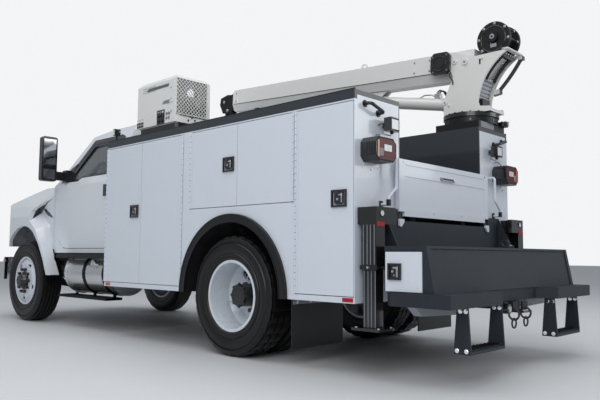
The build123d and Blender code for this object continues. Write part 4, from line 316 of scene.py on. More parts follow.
class Batch:
    """Many small shapes joined into one mesh of one material."""

    def __init__(self):
        self.points = []
        self.faces = []

    def add(self, points, faces):
        start = len(self.points)
        self.points += [Vector(p) for p in points]
        self.faces += [tuple(start + i for i in face) for face in faces]

    def box(self, low, high):
        x, y, z = (sorted(pair) for pair in zip(low, high))
        points = [(a, b, c) for a in x for b in y for c in z]
        self.add(points, [(0, 1, 3, 2), (4, 6, 7, 5), (0, 4, 5, 1), (2, 3, 7, 6), (0, 2, 6, 4), (1, 5, 7, 3)])

    def bar(self, start, end, radius, sides=10):
        """A round or many-sided bar between two points."""
        start, end = Vector(start), Vector(end)
        across, other = square_to((end - start).normalized())
        rims = [centre + radius * (across * c + other * s) for centre in (start, end) for c, s in around(sides)]
        faces = [(i, (i + 1) % sides, sides + (i + 1) % sides, sides + i) for i in range(sides)]
        faces += [tuple(reversed(range(sides))), tuple(range(sides, 2 * sides))]
        self.add(rims, faces)

    def ring(self, centre, axis, radius, thick, sides=32, facets=8):
        """A torus about an axis."""
        centre, way = Vector(centre), Vector(axis).normalized()
        across, other = square_to(way)
        points = [centre + (across * c + other * s) * (radius + thick * out) + way * thick * up
                  for c, s in around(sides) for out, up in around(facets)]
        faces = [(i * facets + j, (i + 1) % sides * facets + j, (i + 1) % sides * facets + (j + 1) % facets,
                  i * facets + (j + 1) % facets) for i in range(sides) for j in range(facets)]
        self.add(points, faces)

    def bolt(self, base, way, size=0.009, height=0.006):
        """A hexagon bolt head on its washer."""
        base, way = Vector(base), Vector(way).normalized()
        self.bar(base, base + way * height * 0.25, size * 1.35, 12)
        self.bar(base + way * height * 0.25, base + way * height, size, 6)

    def plate(self, outline, along):
        """A flat plate: a closed outline of points, raised by a vector."""
        count = len(outline)
        along = Vector(along)
        lower = [Vector(p) for p in outline]
        faces = [tuple(reversed(range(count))), tuple(range(count, 2 * count))]
        faces += [(i, (i + 1) % count, count + (i + 1) % count, count + i) for i in range(count)]
        self.add(lower + [p + along for p in lower], faces)

    def run(self, points, radius, sides=8):
        """A round tube through a list of points."""
        points = [Vector(p) for p in points]
        rims = []
        side = None
        for i, here in enumerate(points):
            before = points[max(0, i - 1)]
            after = points[min(len(points) - 1, i + 1)]
            way = (after - before).normalized()
            if side is None:
                side = way.orthogonal().normalized()
            side = (side - way * side.dot(way)).normalized()
            up = way.cross(side)
            rims += [here + radius * (side * c + up * s) for c, s in around(sides)]
        faces = [(i * sides + j, i * sides + (j + 1) % sides, (i + 1) * sides + (j + 1) % sides, (i + 1) * sides + j)
                 for i in range(len(points) - 1) for j in range(sides)]
        faces += [tuple(reversed(range(sides))), tuple(range(len(rims) - sides, len(rims)))]
        self.add(rims, faces)

    def piece(self, name, body, look, slot, smooth=40, bevel=0.0):
        """The joined mesh as one object that rides on a body."""
        mesh = bpy.data.meshes.new(name)
        mesh.from_pydata([tuple(p) for p in self.points], [], self.faces)
        mesh.materials.append(finishes[look])
        shell = bmesh.new()
        shell.from_mesh(mesh)
        bmesh.ops.recalc_face_normals(shell, faces=shell.faces)
        shell.to_mesh(mesh)
        shell.free()
        shape = new_object(name, mesh)
        for polygon in mesh.polygons:
            polygon.use_smooth = True
        mesh.set_sharp_from_angle(angle=math.radians(smooth))
        if bevel:
            modifier = shape.modifiers.new("bevel", "BEVEL")
            modifier.width = bevel
            modifier.segments = 2
            modifier.limit_method = "ANGLE"
        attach(shape, body)
        return shape


TREAD_STEPS = 120
TREAD_HALF = 0.105
TYRE_RADIUS = 0.5
GROOVE_RADIUS, GROOVE_HALF, GROOVE_SLOPE = 0.486, 0.006, 0.001
LUG_RADIUS = 0.488
SHOULDER_CUT = 0.006
WALL, SHOULDER, GROOVE, TREAD = range(4)
SHOULDER_FROM = 0.46
# The tyre's section as (out from its middle, radius), from each bead to the tread
INNER_WALL = ((-0.105, 0.2862), (-0.128, 0.302), (-0.137, 0.335), (-0.1385, 0.352), (-0.1375, 0.356), (-0.14, 0.392),
              (-0.1385, 0.432), (-0.1325, 0.462), (-0.118, 0.487))
OUTER_WALL = ((0.118, 0.487), (0.129, 0.47), (0.1345, 0.456), (0.135, 0.449), (0.129, 0.446), (0.13, 0.44),
              (0.1385, 0.432), (0.14, 0.4), (0.1385, 0.374), (0.1335, 0.366), (0.132, 0.356), (0.1385, 0.35),
              (0.1375, 0.338), (0.133, 0.332), (0.1315, 0.31), (0.105, 0.2862))


def tyre_rings(y, side, lugged):
    """Rings of (y, radius, pattern) from the inner bead over the tread to the outer bead."""
    ribs = 3 if lugged else 5
    step = 2 * TREAD_HALF / ribs
    tread = []
    for rib in range(ribs):
        low = -TREAD_HALF + rib * step
        high = low + step
        tread += [(low + GROOVE_HALF, GROOVE_RADIUS, GROOVE), (low + GROOVE_HALF + GROOVE_SLOPE, TYRE_RADIUS, TREAD),
                  (high - GROOVE_HALF - GROOVE_SLOPE, TYRE_RADIUS, TREAD), (high - GROOVE_HALF, GROOVE_RADIUS, GROOVE)]
    inner, outer = ([(out, radius, SHOULDER if radius > SHOULDER_FROM else WALL) for out, radius in wall]
                    for wall in (INNER_WALL, OUTER_WALL))
    return [(y + side * out, radius, pattern) for out, radius, pattern in inner + tread + outer]


def add_tyre(batch, x, y, side, lugged):
    """A tyre with grooves round its tread and notches across it."""
    rings = tyre_rings(y, side, lugged)
    points = []
    for i, (c, s) in enumerate(around(TREAD_STEPS)):
        notch = i % (4 if lugged else 6) == 0
        for ring_y, radius, pattern in rings:
            if notch and lugged and pattern == TREAD:
                radius = LUG_RADIUS
            if notch and pattern == SHOULDER:
                radius -= SHOULDER_CUT
            points.append((x + radius * c, ring_y, AXLE_Z + radius * s))
    count = len(rings)
    faces = []
    for i in range(TREAD_STEPS):
        after = (i + 1) % TREAD_STEPS
        for j in range(count - 1):
            faces.append((i * count + j, after * count + j, after * count + j + 1, i * count + j + 1))
        faces.append((i * count + count - 1, after * count + count - 1, after * count, i * count))
    batch.add(points, faces)


for side, hand in SIDES:
    front = Batch()
    add_tyre(front, FRONT_AXLE_X, side * 1.015, side, False)
    shape = front.piece(f"front_tyre_{hand}_tread", f"front_wheel_{hand}", "tyre_rubber", "tyre_rubber", smooth=30)
    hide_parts(f"front_tyre_{hand}")
    rear = Batch()
    for middle in (1.045, 0.71):
        add_tyre(rear, REAR_AXLE_X, side * middle, side, True)
    shape = rear.piece(f"rear_tyres_{hand}_tread", f"rear_wheels_{hand}", "tyre_rubber", "tyre_rubber", smooth=30)
    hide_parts(f"rear_tyres_{hand}")

# The finish and the slot of each look of the details
LOOKS = {
    "white": "white_paint white_paint", "crane": "crane_white white_paint", "black": "black_satin black_paint",
    "gloss": "black_gloss leg_paint", "silver": "steel rod_steel", "chrome": "chrome bumper_chrome",
    "red": "red_lens lamp_plastic", "clear": "white_lens lamp_plastic", "reflector": "reflector lamp_plastic",
    "amber": "amber_lens lamp_plastic", "mirror": "mirror_glass glass", "coat": "bed_coat bed_coat",
    "rubber": "flare_rubber flare_rubber", "iron": "cast_steel cast_steel", "grey": "grey_paint black_paint",
    "hose": "hose_rubber black_paint", "plastic": "interior interior_plastic"}
details = {}


def at(body, look):
    """The joined mesh that gathers one body's details of one finish."""
    return details.setdefault((body, look), Batch())


class Pen:
    """Adds details to one body, at places measured from the pen's own X and Y and mirrored on the right side."""

    def __init__(self, body, side=1, x=REAR_AXLE_X, y=0.0):
        self.body, self.side, self.x, self.y = body, side, x, y

    def spot(self, place):
        """A place in the part's frame."""
        return self.x + place[0], self.y + self.side * place[1], place[2]

    def box(self, look, low, high):
        at(self.body, look).box(self.spot(low), self.spot(high))

    def bar(self, look, start, end, radius, sides=10):
        at(self.body, look).bar(self.spot(start), self.spot(end), radius, sides)

    def ring(self, look, centre, axis, *sizes):
        at(self.body, look).ring(self.spot(centre), axis, *sizes)

    def bolt(self, look, base, way, size, height):
        at(self.body, look).bolt(self.spot(base), (way[0], self.side * way[1], way[2]), size, height)

    def run(self, look, points, radius, sides=8):
        at(self.body, look).run([self.spot(p) for p in points], radius, sides)

    def plate(self, look, outline, rise):
        at(self.body, look).plate([self.spot(p) for p in outline], (rise[0], self.side * rise[1], rise[2]))


def octagon(y, z, cut):
    """The outline of a rectangle with its corners cut: spans of Y and Z."""
    return [(y[0] + cut, z[0]), (y[1] - cut, z[0]), (y[1], z[0] + cut), (y[1], z[1] - cut), (y[1] - cut, z[1]),
            (y[0] + cut, z[1]), (y[0], z[1] - cut), (y[0], z[0] + cut)]


# Pack doors: hinge rivets, knuckle gaps drawn as black rings of painted shade on the hinge barrels, and silver paddles
# and locks on the latches.
# Name, rear and front edge ahead of the rear axle, foot, and 1 where the hinge is in front
PACK_DOORS = (("a", 1.372, 2.008, 0.556, 1), ("b", 0.692, 1.366, 0.556, -1), ("c", -0.065, 0.566, 1.25, 1),
              ("d", -0.724, -0.071, 1.25, -1), ("e", -1.312, -0.756, 0.556, 1))
DOOR_TOP = 1.94
RIVET_PITCH = 0.05
for side, hand in SIDES:
    truck = Pen("truck", side)
    for name, rear, ahead, low, toward in PACK_DOORS:
        door = Pen(f"pack_door_{name}_{hand}", side)
        edge = ahead if toward > 0 else rear
        leaf, barrel, strip = edge - toward * 0.014, edge + toward * 0.003, edge + toward * 0.018
        for row in range(int((DOOR_TOP - low - 0.02) / RIVET_PITCH)):
            z = low + 0.03 + RIVET_PITCH * row
            door.bar("white", (leaf, 1.1845, z), (leaf, 1.1872, z), 0.0048, 6)
            # A black ring on the barrel: painted shade in the gap between two knuckles
            door.bar("black", (barrel, 1.1873, z + 0.023), (barrel, 1.1873, z + 0.027), 0.0079, 8)
            if name in "bc":
                truck.bar("white", (strip, 1.179, z), (strip, 1.1824, z), 0.0048, 6)
        if name in LATCH_SPOTS:
            x, z = LATCH_SPOTS[name]
            door.box("silver", (x - 0.033, 1.189, z - 0.03), (x - 0.021, 1.193, z + 0.036))
            door.box("silver", (x - 0.021, 1.189, z + 0.02), (x + 0.002, 1.193, z + 0.03))
            door.bar("silver", (x + 0.012, 1.189, z - 0.006), (x + 0.012, 1.194, z - 0.006), 0.009, 16)
            door.box("black", (x - 0.036, 1.189, z - 0.043), (x + 0.028, 1.192, z - 0.036))
    # Side markers low at the pack's ends, and the bent lip along the pack's top
    truck.box("reflector", (-1.31, 1.179, 0.517), (-1.215, 1.184, 0.545))
    truck.box("amber", (1.9, 1.179, 0.517), (1.985, 1.184, 0.545))
    Pen("truck", side, BODY_REAR).box("coat", (0, 1.166, 2.024), (BODY_LENGTH, 1.18, 2.034))
    # Tie rings along the bed
    for x in (-0.874, 0.076, 1.026, 1.776):
        truck.ring("silver", (x, 0.622, 1.3), (1, 0, 0.2), 0.028, 0.005, 20, 6)
        truck.box("silver", (x - 0.02, 0.619, 1.318), (x + 0.02, 0.63, 1.34))
    # Beads along the flare's two edges
    for radius in (0.6055, 0.6655):
        arc = [math.radians(3 * step) for step in range(61)]
        bead = [(radius * math.cos(turn), 1.2075, ARCH_Z + radius * math.sin(turn)) for turn in arc]
        truck.run("rubber", bead, 0.0065, 6)
    # Mudflap clamp and bolts
    truck.box("grey", (-0.7085, 0.565, 0.468), (-0.7048, 1.155, 0.502))
    for out in (0.62, 0.79, 0.96, 1.11):
        truck.bolt("silver", (-0.7085, out, 0.485), BACK, 0.01, 0.007)

# Tail lamps, work lights and handles on the packs' rear faces
LAMP_FACE = BODY_REAR - 0.136
for side, hand in SIDES:
    truck, back, lamp = (Pen("truck", side, x) for x in (REAR_AXLE_X, BODY_REAR, LAMP_FACE))
    lamp.plate("red", [(0.001, y, z) for y, z in octagon((0.884, 1.103), (1.52, 1.67), 0.03)], (-0.006, 0, 0))
    lamp.box("amber", (-0.0045, 1.078, 1.535), (-0.0065, 1.097, 1.655))
    lamp.box("clear", (-0.0045, 0.932, 1.583), (-0.0075, 1.02, 1.63))
    lamp.box("grey", (-0.0045, 1.03, 1.545), (-0.006, 1.07, 1.6))
    for flute in range(5):
        x = -0.03 - 0.022 * flute
        for z in (1.5085, 1.6815):
            back.bar("gloss", (x, 0.915, z), (x, 1.072, z), 0.004, 6)
        back.bar("gloss", (x, 1.1145, 1.55), (x, 1.1145, 1.64), 0.004, 6)
    for rib in range(1, 6):
        y = 0.932 + 0.0147 * rib
        lamp.box("grey", (-0.007, y - 0.0008, 1.585), (-0.0079, y + 0.0008, 1.628))
    bezel = [(LAMP_FACE - 0.002, y, z) for y, z in octagon(band(side, 0.878, 1.109), (1.514, 1.676), 0.034)]
    at("truck", "gloss").run(bezel + bezel[:1], 0.0055, 6)
    for y, z in ((0.985, 1.462), (1.085, 1.474), (0.9, 1.474)):
        back.bolt("silver", (0, y, z), BACK, 0.008, 0.005)
    # Work light: lens in a bezel, a U bracket and its short lead
    back.box("clear", (-0.0995, 0.788, 1.768), (-0.1035, 0.872, 1.842))
    rim = ((0.783, 1.762), (0.877, 1.762), (0.877, 1.848), (0.783, 1.848), (0.783, 1.762))
    back.run("gloss", [(-0.1015, y, z) for y, z in rim], 0.0045, 6)
    for fin in range(4):
        y = 0.797 + 0.022 * fin
        back.box("black", (-0.058, y - 0.003, 1.853), (-0.094, y + 0.003, 1.862))
    back.box("black", (-0.06, 0.822, 1.735), (-0.082, 0.838, 1.757))
    back.run("silver", [(0, 0.85, 1.752), (-0.03, 0.846, 1.735), (-0.066, 0.838, 1.722), (-0.072, 0.83, 1.745)], 0.005)
    back.run("hose", [(0, 0.905, 1.8), (-0.022, 0.898, 1.812), (-0.045, 0.885, 1.8), (-0.056, 0.872, 1.79)], 0.0035)
    back.run("hose", [(0, 0.93, 1.725), (-0.03, 0.935, 1.722), (-0.05, 0.945, 1.7), (-0.052, 0.95, 1.682)], 0.0035)
    # Feet of the grab handle and of the cranked bar
    for y, z in ((1.065, 1.935), (0.905, 1.888)):
        back.bar("black", (0, y, z), (-0.008, y, z), 0.026, 20)
    back.box("black", (0, 0.858, 1.188), (-0.01, 0.894, 1.242))
    back.box("black", (-0.06, 0.862, 1.204), (-0.084, 0.89, 1.25))
    back.bar("white", (0, 0.778, 1.56), (-0.006, 0.778, 1.56), 0.022, 20)
    # White stop tabs under the tailgate's ends
    tab = ((0.702, 1.118), (0.702, 1.066), (0.69, 1.058), (0.672, 1.06), (0.64, 1.096), (0.64, 1.118))
    back.plate("white", [(-0.0335, y, z) for y, z in tab], (-0.016, 0, 0))
    # Outrigger: light and reflector on the header, and grey beads down the column and the leg, paler than the black
    # gloss as painted highlight streaks
    header = Pen("truck", side, station(-1.486))
    leg = Pen(f"outrigger_leg_{hand}", side)
    header.bar("clear", (0.001, 1.08, 1.135), (-0.006, 1.08, 1.135), 0.019, 20)
    header.ring("gloss", (-0.002, 1.08, 1.135), ALONG, 0.021, 0.004, 24, 6)
    header.box("reflector", (0.001, 1.056, 1.046), (-0.004, 1.142, 1.076))
    header.bar("gloss", (0, 1.052, 1.146), (-0.01, 1.052, 1.146), 0.006, 8)
    # Painted highlight: grey beads that stand in for the bright reflection streaks on the black gloss
    for x in (-1.47, -1.437, -1.409, -1.376):
        truck.bar("grey", (x, 1.1475, 0.78), (x, 1.1475, 1.055), 0.004, 8)
        leg.bar("grey", (x, 1.1385, 0.352), (x, 1.1385, 0.735), 0.0035, 8)
    truck.bar("silver", (-1.423, 1.149, 0.76), (-1.423, 1.167, 0.76), 0.009, 10)
    truck.bar("black", (-1.5, 1.1, 0.76), (-1.53, 1.1, 0.76), 0.012, 12)
    for x, y in ((-1.52, 1.03), (-1.52, 1.17), (-1.33, 1.03), (-1.33, 1.17)):
        leg.bolt("silver", (x, y, 0.348), UP, 0.01, 0.007)

# Tailgate: hand slot and its pull bar, and bolts along its foot
gate = Pen("tailgate", 1, BODY_REAR - 0.044)
gate.box("gloss", (0.001, -0.105, 1.458), (-0.002, 0.115, 1.482))
gate.run("silver", [(0, -0.096, 1.476), (-0.014, -0.088, 1.458), (-0.014, 0.098, 1.458), (0, 0.106, 1.476)], 0.006)
for y in (-0.66, -0.22, 0.22, 0.66):
    gate.bolt("white", (0, y, 1.182), BACK, 0.008, 0.005)
for y in (-0.64, 0.64):
    gate.bolt("silver", (0, y, 1.557), BACK, 0.007, 0.005)

# Bench bumper: end door paddles and locks, bolts and treads of the boot steps, chain loops and the pin on top
BOOT_STRAPS = ((0.45, 0.464), (0.916, 0.93))
for side, hand in SIDES:
    truck = Pen("truck", side)
    door = Pen(f"bench_door_{hand}", side)
    door.box("silver", (-1.668, 1.153, 0.7), (-1.654, 1.159, 0.77))
    door.box("silver", (-1.654, 1.153, 0.757), (-1.626, 1.159, 0.768))
    door.bar("silver", (-1.624, 1.153, 0.738), (-1.624, 1.159, 0.738), 0.009, 16)
    door.bar("silver", (-1.636, 1.153, 0.712), (-1.636, 1.158, 0.712), 0.006, 12)
    for inner, outer in BOOT_STRAPS:
        for x, z in ((-2.036, 0.487), (-1.996, 0.487), (-2.036, 0.233), (-1.968, 0.233)):
            truck.bolt("chrome", (x, outer, z), OUT, 0.0115, 0.009)
            truck.bolt("chrome", (x, inner, z), IN, 0.0115, 0.009)
    for rib in range(9):
        y = 0.485 + 0.051 * rib
        truck.box("black", (-2.054, y - 0.006, 0.2395), (-1.948, y + 0.006, 0.2455))
    # Chain loops beside the receiver
    truck.box("black", (-1.976, 0.035, 0.44), (-1.962, 0.125, 0.505))
    truck.ring("iron", (-1.969, 0.1, 0.415), OUT, 0.04, 0.008, 24, 8)
    truck.ring("iron", (-1.969, 0.1, 0.35), ALONG, 0.034, 0.007, 24, 8)
fixed = Pen("truck")
fixed.bar("gloss", (-1.946, 0.23, 0.462), (-1.999, 0.23, 0.462), 0.036, 20)
fixed.bar("silver", (-1.999, 0.23, 0.462), (-2.004, 0.23, 0.462), 0.022, 16)
fixed.box("black", (-1.914, 0.2, 0.5), (-1.974, 0.26, 0.512))
fixed.bar("grey", (-1.764, -0.262, 0.93), (-1.764, -0.345, 0.921), 0.01, 12)
fixed.box("black", (-1.781, -0.33, 0.9065), (-1.747, -0.3, 0.93))

# Welder: louvre slots, control panel, sockets and the mesh over its rear end
WELDER_LEFT = 1.1
WELDER_REAR = -0.476
welder = Pen("truck", 1, 0.0)
grid = Pen("truck", 1, WELDER_REAR)
for outline in (((0.01, 2.48), (-0.02, 2.511), (-0.38, 2.511), (-0.352, 2.48)),
                ((-0.261, 2.314), (-0.289, 2.346), (-0.394, 2.346), (-0.367, 2.314))):
    welder.plate("grey", [(x, WELDER_LEFT, z) for x, z in outline], (0, 0.0015, 0))
for slot in range(3):
    welder.box("gloss", (-0.372 + 0.006 * slot, 1.1012, 2.485 + 0.008 * slot),
               (0.004 - 0.006 * slot, 1.1026, 2.488 + 0.008 * slot))
welder.box("gloss", (-0.308, 1.0995, 2.1205), (-0.176, 1.1025, 2.262))
for x, z, radius, look in ((-0.208, 2.238, 0.011, "silver"), (-0.245, 2.238, 0.011, "silver"),
                           (-0.282, 2.238, 0.011, "clear"), (-0.208, 2.198, 0.014, "black"),
                           (-0.25, 2.198, 0.014, "black"), (-0.29, 2.196, 0.009, "red"),
                           (-0.215, 2.15, 0.017, "black"), (-0.27, 2.15, 0.017, "black")):
    welder.bar(look, (x, 1.102, z), (x, 1.108, z), radius, 20)
for x in (-0.34, -0.378):
    for z in (2.212, 2.168):
        welder.bar("grey", (x, 1.0995, z), (x, 1.1035, z), 0.015, 16)
for column in range(4):
    x = 0.062 + 0.031 * column
    welder.box("black", (x, 1.0995, 2.128), (x + 0.024, 1.103, 2.154))
    welder.box("black", (x, 1.0995, 2.16), (x + 0.024, 1.103, 2.182))
    welder.bar("silver", (x + 0.012, 1.0995, 2.208), (x + 0.012, 1.1035, 2.208), 0.006, 10)
for z in (2.465, 2.352, 2.232):
    welder.bolt("silver", (-0.409, 1.1, z), OUT, 0.007, 0.004)
MESH_Y, MESH_Z = (0.716, 1.086), (2.2, 2.552)
grid.box("gloss", (0.002, MESH_Y[0], MESH_Z[0]), (-0.001, MESH_Y[1], MESH_Z[1]))
grid.bar("grey", (-0.001, 0.92, 2.425), (-0.0015, 0.92, 2.425), 0.085, 32)
grid.bar("silver", (-0.0015, 0.92, 2.425), (-0.002, 0.92, 2.425), 0.04, 24)
grid.box("grey", (-0.001, 0.8, 2.3), (-0.0015, 0.86, 2.44))
MESH_PITCH, MESH_SHORTEST = 0.04, 0.03
mesh_wide, mesh_high = MESH_Y[1] - MESH_Y[0], MESH_Z[1] - MESH_Z[0]
for way in (1, -1):
    for line in range(-10, 20):
        offset = line * MESH_PITCH
        shares = sorted((-offset / (way * mesh_wide), (mesh_high - offset) / (way * mesh_wide)))
        low, high = max(0, shares[0]), min(1.0, shares[1])
        if high - low >= MESH_SHORTEST:
            ends = [(-0.0045, MESH_Y[0] + mesh_wide * share, MESH_Z[0] + offset + way * mesh_wide * share)
                    for share in (low, high)]
            grid.bar("crane", *ends, 0.0042, 4)
grid.run("crane", [(-0.004, MESH_Y[a], MESH_Z[b]) for a, b in ((0, 0), (1, 0), (1, 1), (0, 1), (0, 0))], 0.006, 6)
for y, z in ((0.895, 2.182), (0.939, 2.15), (0.859, 2.16)):
    grid.bar("gloss", (0, y, z), (-0.004, y, z), 0.011, 16)
# Work light at the left pack's front top corner
welder.box("gloss", (0.56, 1.06, 2.105), (0.6, 1.13, 2.175))
welder.box("clear", (0.6, 1.066, 2.111), (0.604, 1.124, 2.169))
welder.box("clear", (0.566, 1.13, 2.111), (0.596, 1.133, 2.169))
welder.box("black", (0.57, 1.088, 2.034), (0.586, 1.102, 2.106))
welder.run("silver", [(0.56, 1.08, 2.15), (0.48, 1.04, 2.1), (0.4, 1.0, 2.034)], 0.0045)

# Crane: pins, bolts, hoses, fittings, winch and slewing ring
mast, pedestal, barrel = (Pen(body, 1, CRANE_X, CRANE_Y) for body in ("mast", "truck", "lift_barrel"))
for side in (1, -1):
    cheek = Pen("mast", side, CRANE_X, CRANE_Y + side * 0.14)
    for x, z, radius in ((0.09, 2.721, 0.024), (0.16, 2.3, 0.01), (-0.2, 2.7, 0.01)):
        cheek.bar("crane", (x, 0, z), (x, 0.01, z), radius, 20)
        cheek.bar("silver", (x, 0, z), (x, 0.012, z), radius * 0.45, 12)
    cheek.bar("silver", (-0.02, 0.012, 2.7), (-0.02, 0.014, 2.7), 0.014, 16)
    cheek.bar("silver", (0.2, 0.008, 2.335), (0.2, 0.01, 2.335), 0.011, 16)
    cheek.box("gloss", (-0.184, 0, 2.648), (-0.168, 0.003, 2.698))
mast.run("hose", [(0.148, 0.146, 2.618), (0.142, 0.147, 2.58), (0.115, 0.147, 2.545), (0.11, 0.146, 2.5)], 0.007)
mast.box("gloss", (-0.408, -0.1195, 2.69), (-0.352, 0.1195, 2.728))
for out in (-0.085, -0.045, 0, 0.045, 0.085):
    mast.bar("silver", (-0.408, out, 2.709), (-0.418, out, 2.709), 0.01, 6)
for out in (-0.098, -0.074, 0.06, 0.08, 0.1):
    mast.run("hose", [(-0.37, out, 2.7), (-0.32, out, 2.662), (-0.272, out, 2.612), (-0.23, out, 2.56),
                      (-0.198, out, 2.508)], 0.009)
for x, z in ((-0.114, 2.352), (-0.123, 2.386), (-0.134, 2.42), (-0.147, 2.454), (-0.163, 2.488), (-0.183, 2.522)):
    for out in (-0.104, 0.098):
        mast.bar("gloss", (x, out, z), (x, out + 0.006, z), 0.019, 14)
mast.ring("gloss", (0.236, 0.178, 2.725), OUT, 0.072, 0.005, 32, 6)
for c, s in around(4, math.pi / 4):
    mast.bolt("grey", (0.236 + 0.108 * c, 0.176, 2.725 + 0.108 * s), OUT, 0.007, 0.005)
for c, s in around(20, math.pi / 20):
    mast.bolt("gloss", (0.243 * c, 0.243 * s, 2.1903), UP, 0.01, 0.01)
    pedestal.bolt("gloss", (0.2495 * c, 0.2495 * s, 2.118), (c, s, 0), 0.008, 0.006)
pedestal.box("grey", (-0.224, -0.02, 2.03), (-0.219, 0.23, 2.086))
for x, y in ((-0.268, -0.235), (-0.196, -0.214), (-0.232, -0.1748), (-0.262, -0.186)):
    pedestal.bolt("silver", (x, y, 2.131), UP, 0.01, 0.009)
for z in (2.1, 2.12):
    pedestal.bolt("silver", (-0.28, -0.2, z), BACK, 0.008, 0.008)
# Fittings on top of the lift cylinder's root
barrel.box("silver", (0.326, -0.028, 2.418), (0.391, 0.028, 2.475))
barrel.run("silver", [(0.391, 0, 2.456), (0.446, 0.004, 2.48), (0.516, 0.006, 2.486), (0.576, 0, 2.468),
                      (0.626, 0, 2.474)], 0.008)
for y in (-0.018, 0.018):
    barrel.bar("silver", (0.358, y, 2.475), (0.358, y, 2.492), 0.011, 6)
    barrel.run("hose", [(0.358, y, 2.488), (0.331, y, 2.505), (0.291, y, 2.49), (0.261, y, 2.44), (0.251, y, 2.385)],
               0.0075)
CYLINDER_FOOT = Vector((station(-0.9), CRANE_Y, 2.335))
CYLINDER_WAY = Vector((0.98212, 0, 0.18824))
for look, along, radius, thick, sides in (("crane", 0.836, 0.062, 0.006, 36), ("crane", 0.806, 0.062, 0.004, 36),
                                          ("crane", 0.095, 0.062, 0.005, 36), ("gloss", 0.84, 0.04, 0.006, 32)):
    at("lift_barrel", look).ring(CYLINDER_FOOT + CYLINDER_WAY * along, CYLINDER_WAY, radius, thick, sides, 8)
# Winch: hub, cover plate, spacer bolts and the bolts round its flanges
WINCH_Z = 2.868
winch = Pen("mast", 1, CRANE_X - 0.3, CRANE_Y)
winch.bar("silver", (0, 0.138, 2.886), (0, 0.141, 2.886), 0.024, 24)
winch.bolt("gloss", (0, 0.141, 2.886), OUT, 0.008, 0.006)
winch.box("silver", (-0.03, 0.1118, 2.79), (0.03, 0.1138, 2.826))
for c, s in around(8, 0.1):
    x, z = 0.148 * c, WINCH_Z + 0.148 * s
    for y, way in ((0.112, 1), (-0.112, -1), (-0.08, 1)):
        winch.bolt("silver", (x, y, z), (0, way, 0), 0.01, 0.008)
    winch.bar("gloss", (x, -0.112, z), (x, 0.112, z), 0.008, 8)
for y in (0.112, -0.112):
    winch.ring("gloss", (0, y, WINCH_Z), OUT, 0.122, 0.006, 40, 8)

# Boom: a dark line along each fold as painted shade in the crease, end bands and bolts
BOOM_PIVOT_X, BOOM_PIVOT_Z = -2.546, 2.7
BOOM_RISE = math.radians(3.2)


class BoomPen(Pen):
    """A pen whose places are given along the boom from its pivot, out from its middle, and square to it."""

    def spot(self, place):
        along, out, up = place
        return (BOOM_PIVOT_X + along * math.cos(BOOM_RISE) - up * math.sin(BOOM_RISE), CRANE_Y + self.side * out,
                BOOM_PIVOT_Z + along * math.sin(BOOM_RISE) + up * math.cos(BOOM_RISE))


for side in (1, -1):
    boom = BoomPen("boom", side)
    # Painted shade: a thin black bar along the fold, for the shaded crease
    boom.bar("gloss", (0.12, 0.1003, -0.058), (3.435, 0.1003, -0.058), 0.0045, 6)
    for along in (3.36, 3.425):
        boom.bar("crane", (along, 0.1003, -0.056), (along, 0.1003, 0.118), 0.006, 6)
    for along in (0.42, 0.6, 3.39):
        for up in (0.085, -0.02):
            boom.bolt("silver", (along, 0.1003, up), OUT, 0.009, 0.006)
    boom.bolt("silver", (1.18, 0.05, -0.245), OUT, 0.024, 0.014)
boom = BoomPen("boom")
for along in (0.5, 1.05, 1.85, 2.65):
    boom.box("gloss", (along, 0.06, 0.1235), (along + 0.05, 0.085, 0.1285))
boom.bar("hose", (0.45, 0.072, 0.129), (3.38, 0.072, 0.129), 0.006, 8)
for along, up in ((3.679, 0.0), (3.604, -0.12)):
    for side in (1, -1):
        BoomPen("boom_head", side).bolt("silver", (along, 0.065, up), OUT, 0.016, 0.009)

# Cab: mirror glasses and arms, sail panels, headlamps, vents, wipers and cowl
HOOD_NOSE = station(4.88)
CAB_HALF, BELT_Z, WINDOW_LEAN = 1.0, 1.65, 0.336
SAIL = ((3.185, 1.93), (3.262, 1.706), (3.4, 1.716), (3.405, 1.76), (3.3, 1.88))
WINDOW_SEAL = ((2.325, 1.744), (2.96, 1.744), (3.04, 1.712), (3.235, 1.712), (3.275, 1.778), (2.935, 2.144),
               (2.325, 2.144), (2.325, 1.744))
PILLAR = ((3.275, 1.778), (2.935, 2.144), (2.325, 2.144), (2.325, 2.112), (2.905, 2.112), (3.178, 1.8),
          (3.13, 1.726), (3.235, 1.712))
VENT = ((3.812, 1.408), (3.76, 1.398), (3.64, 1.34), (3.552, 1.284), (3.6, 1.286), (3.7, 1.318), (3.792, 1.372))


def on_door(outline, off):
    """Places off the outside of a cab door, which leans in above its belt."""
    return [(x, CAB_HALF - max(0, z - BELT_Z) * WINDOW_LEAN + off, z) for x, z in outline]


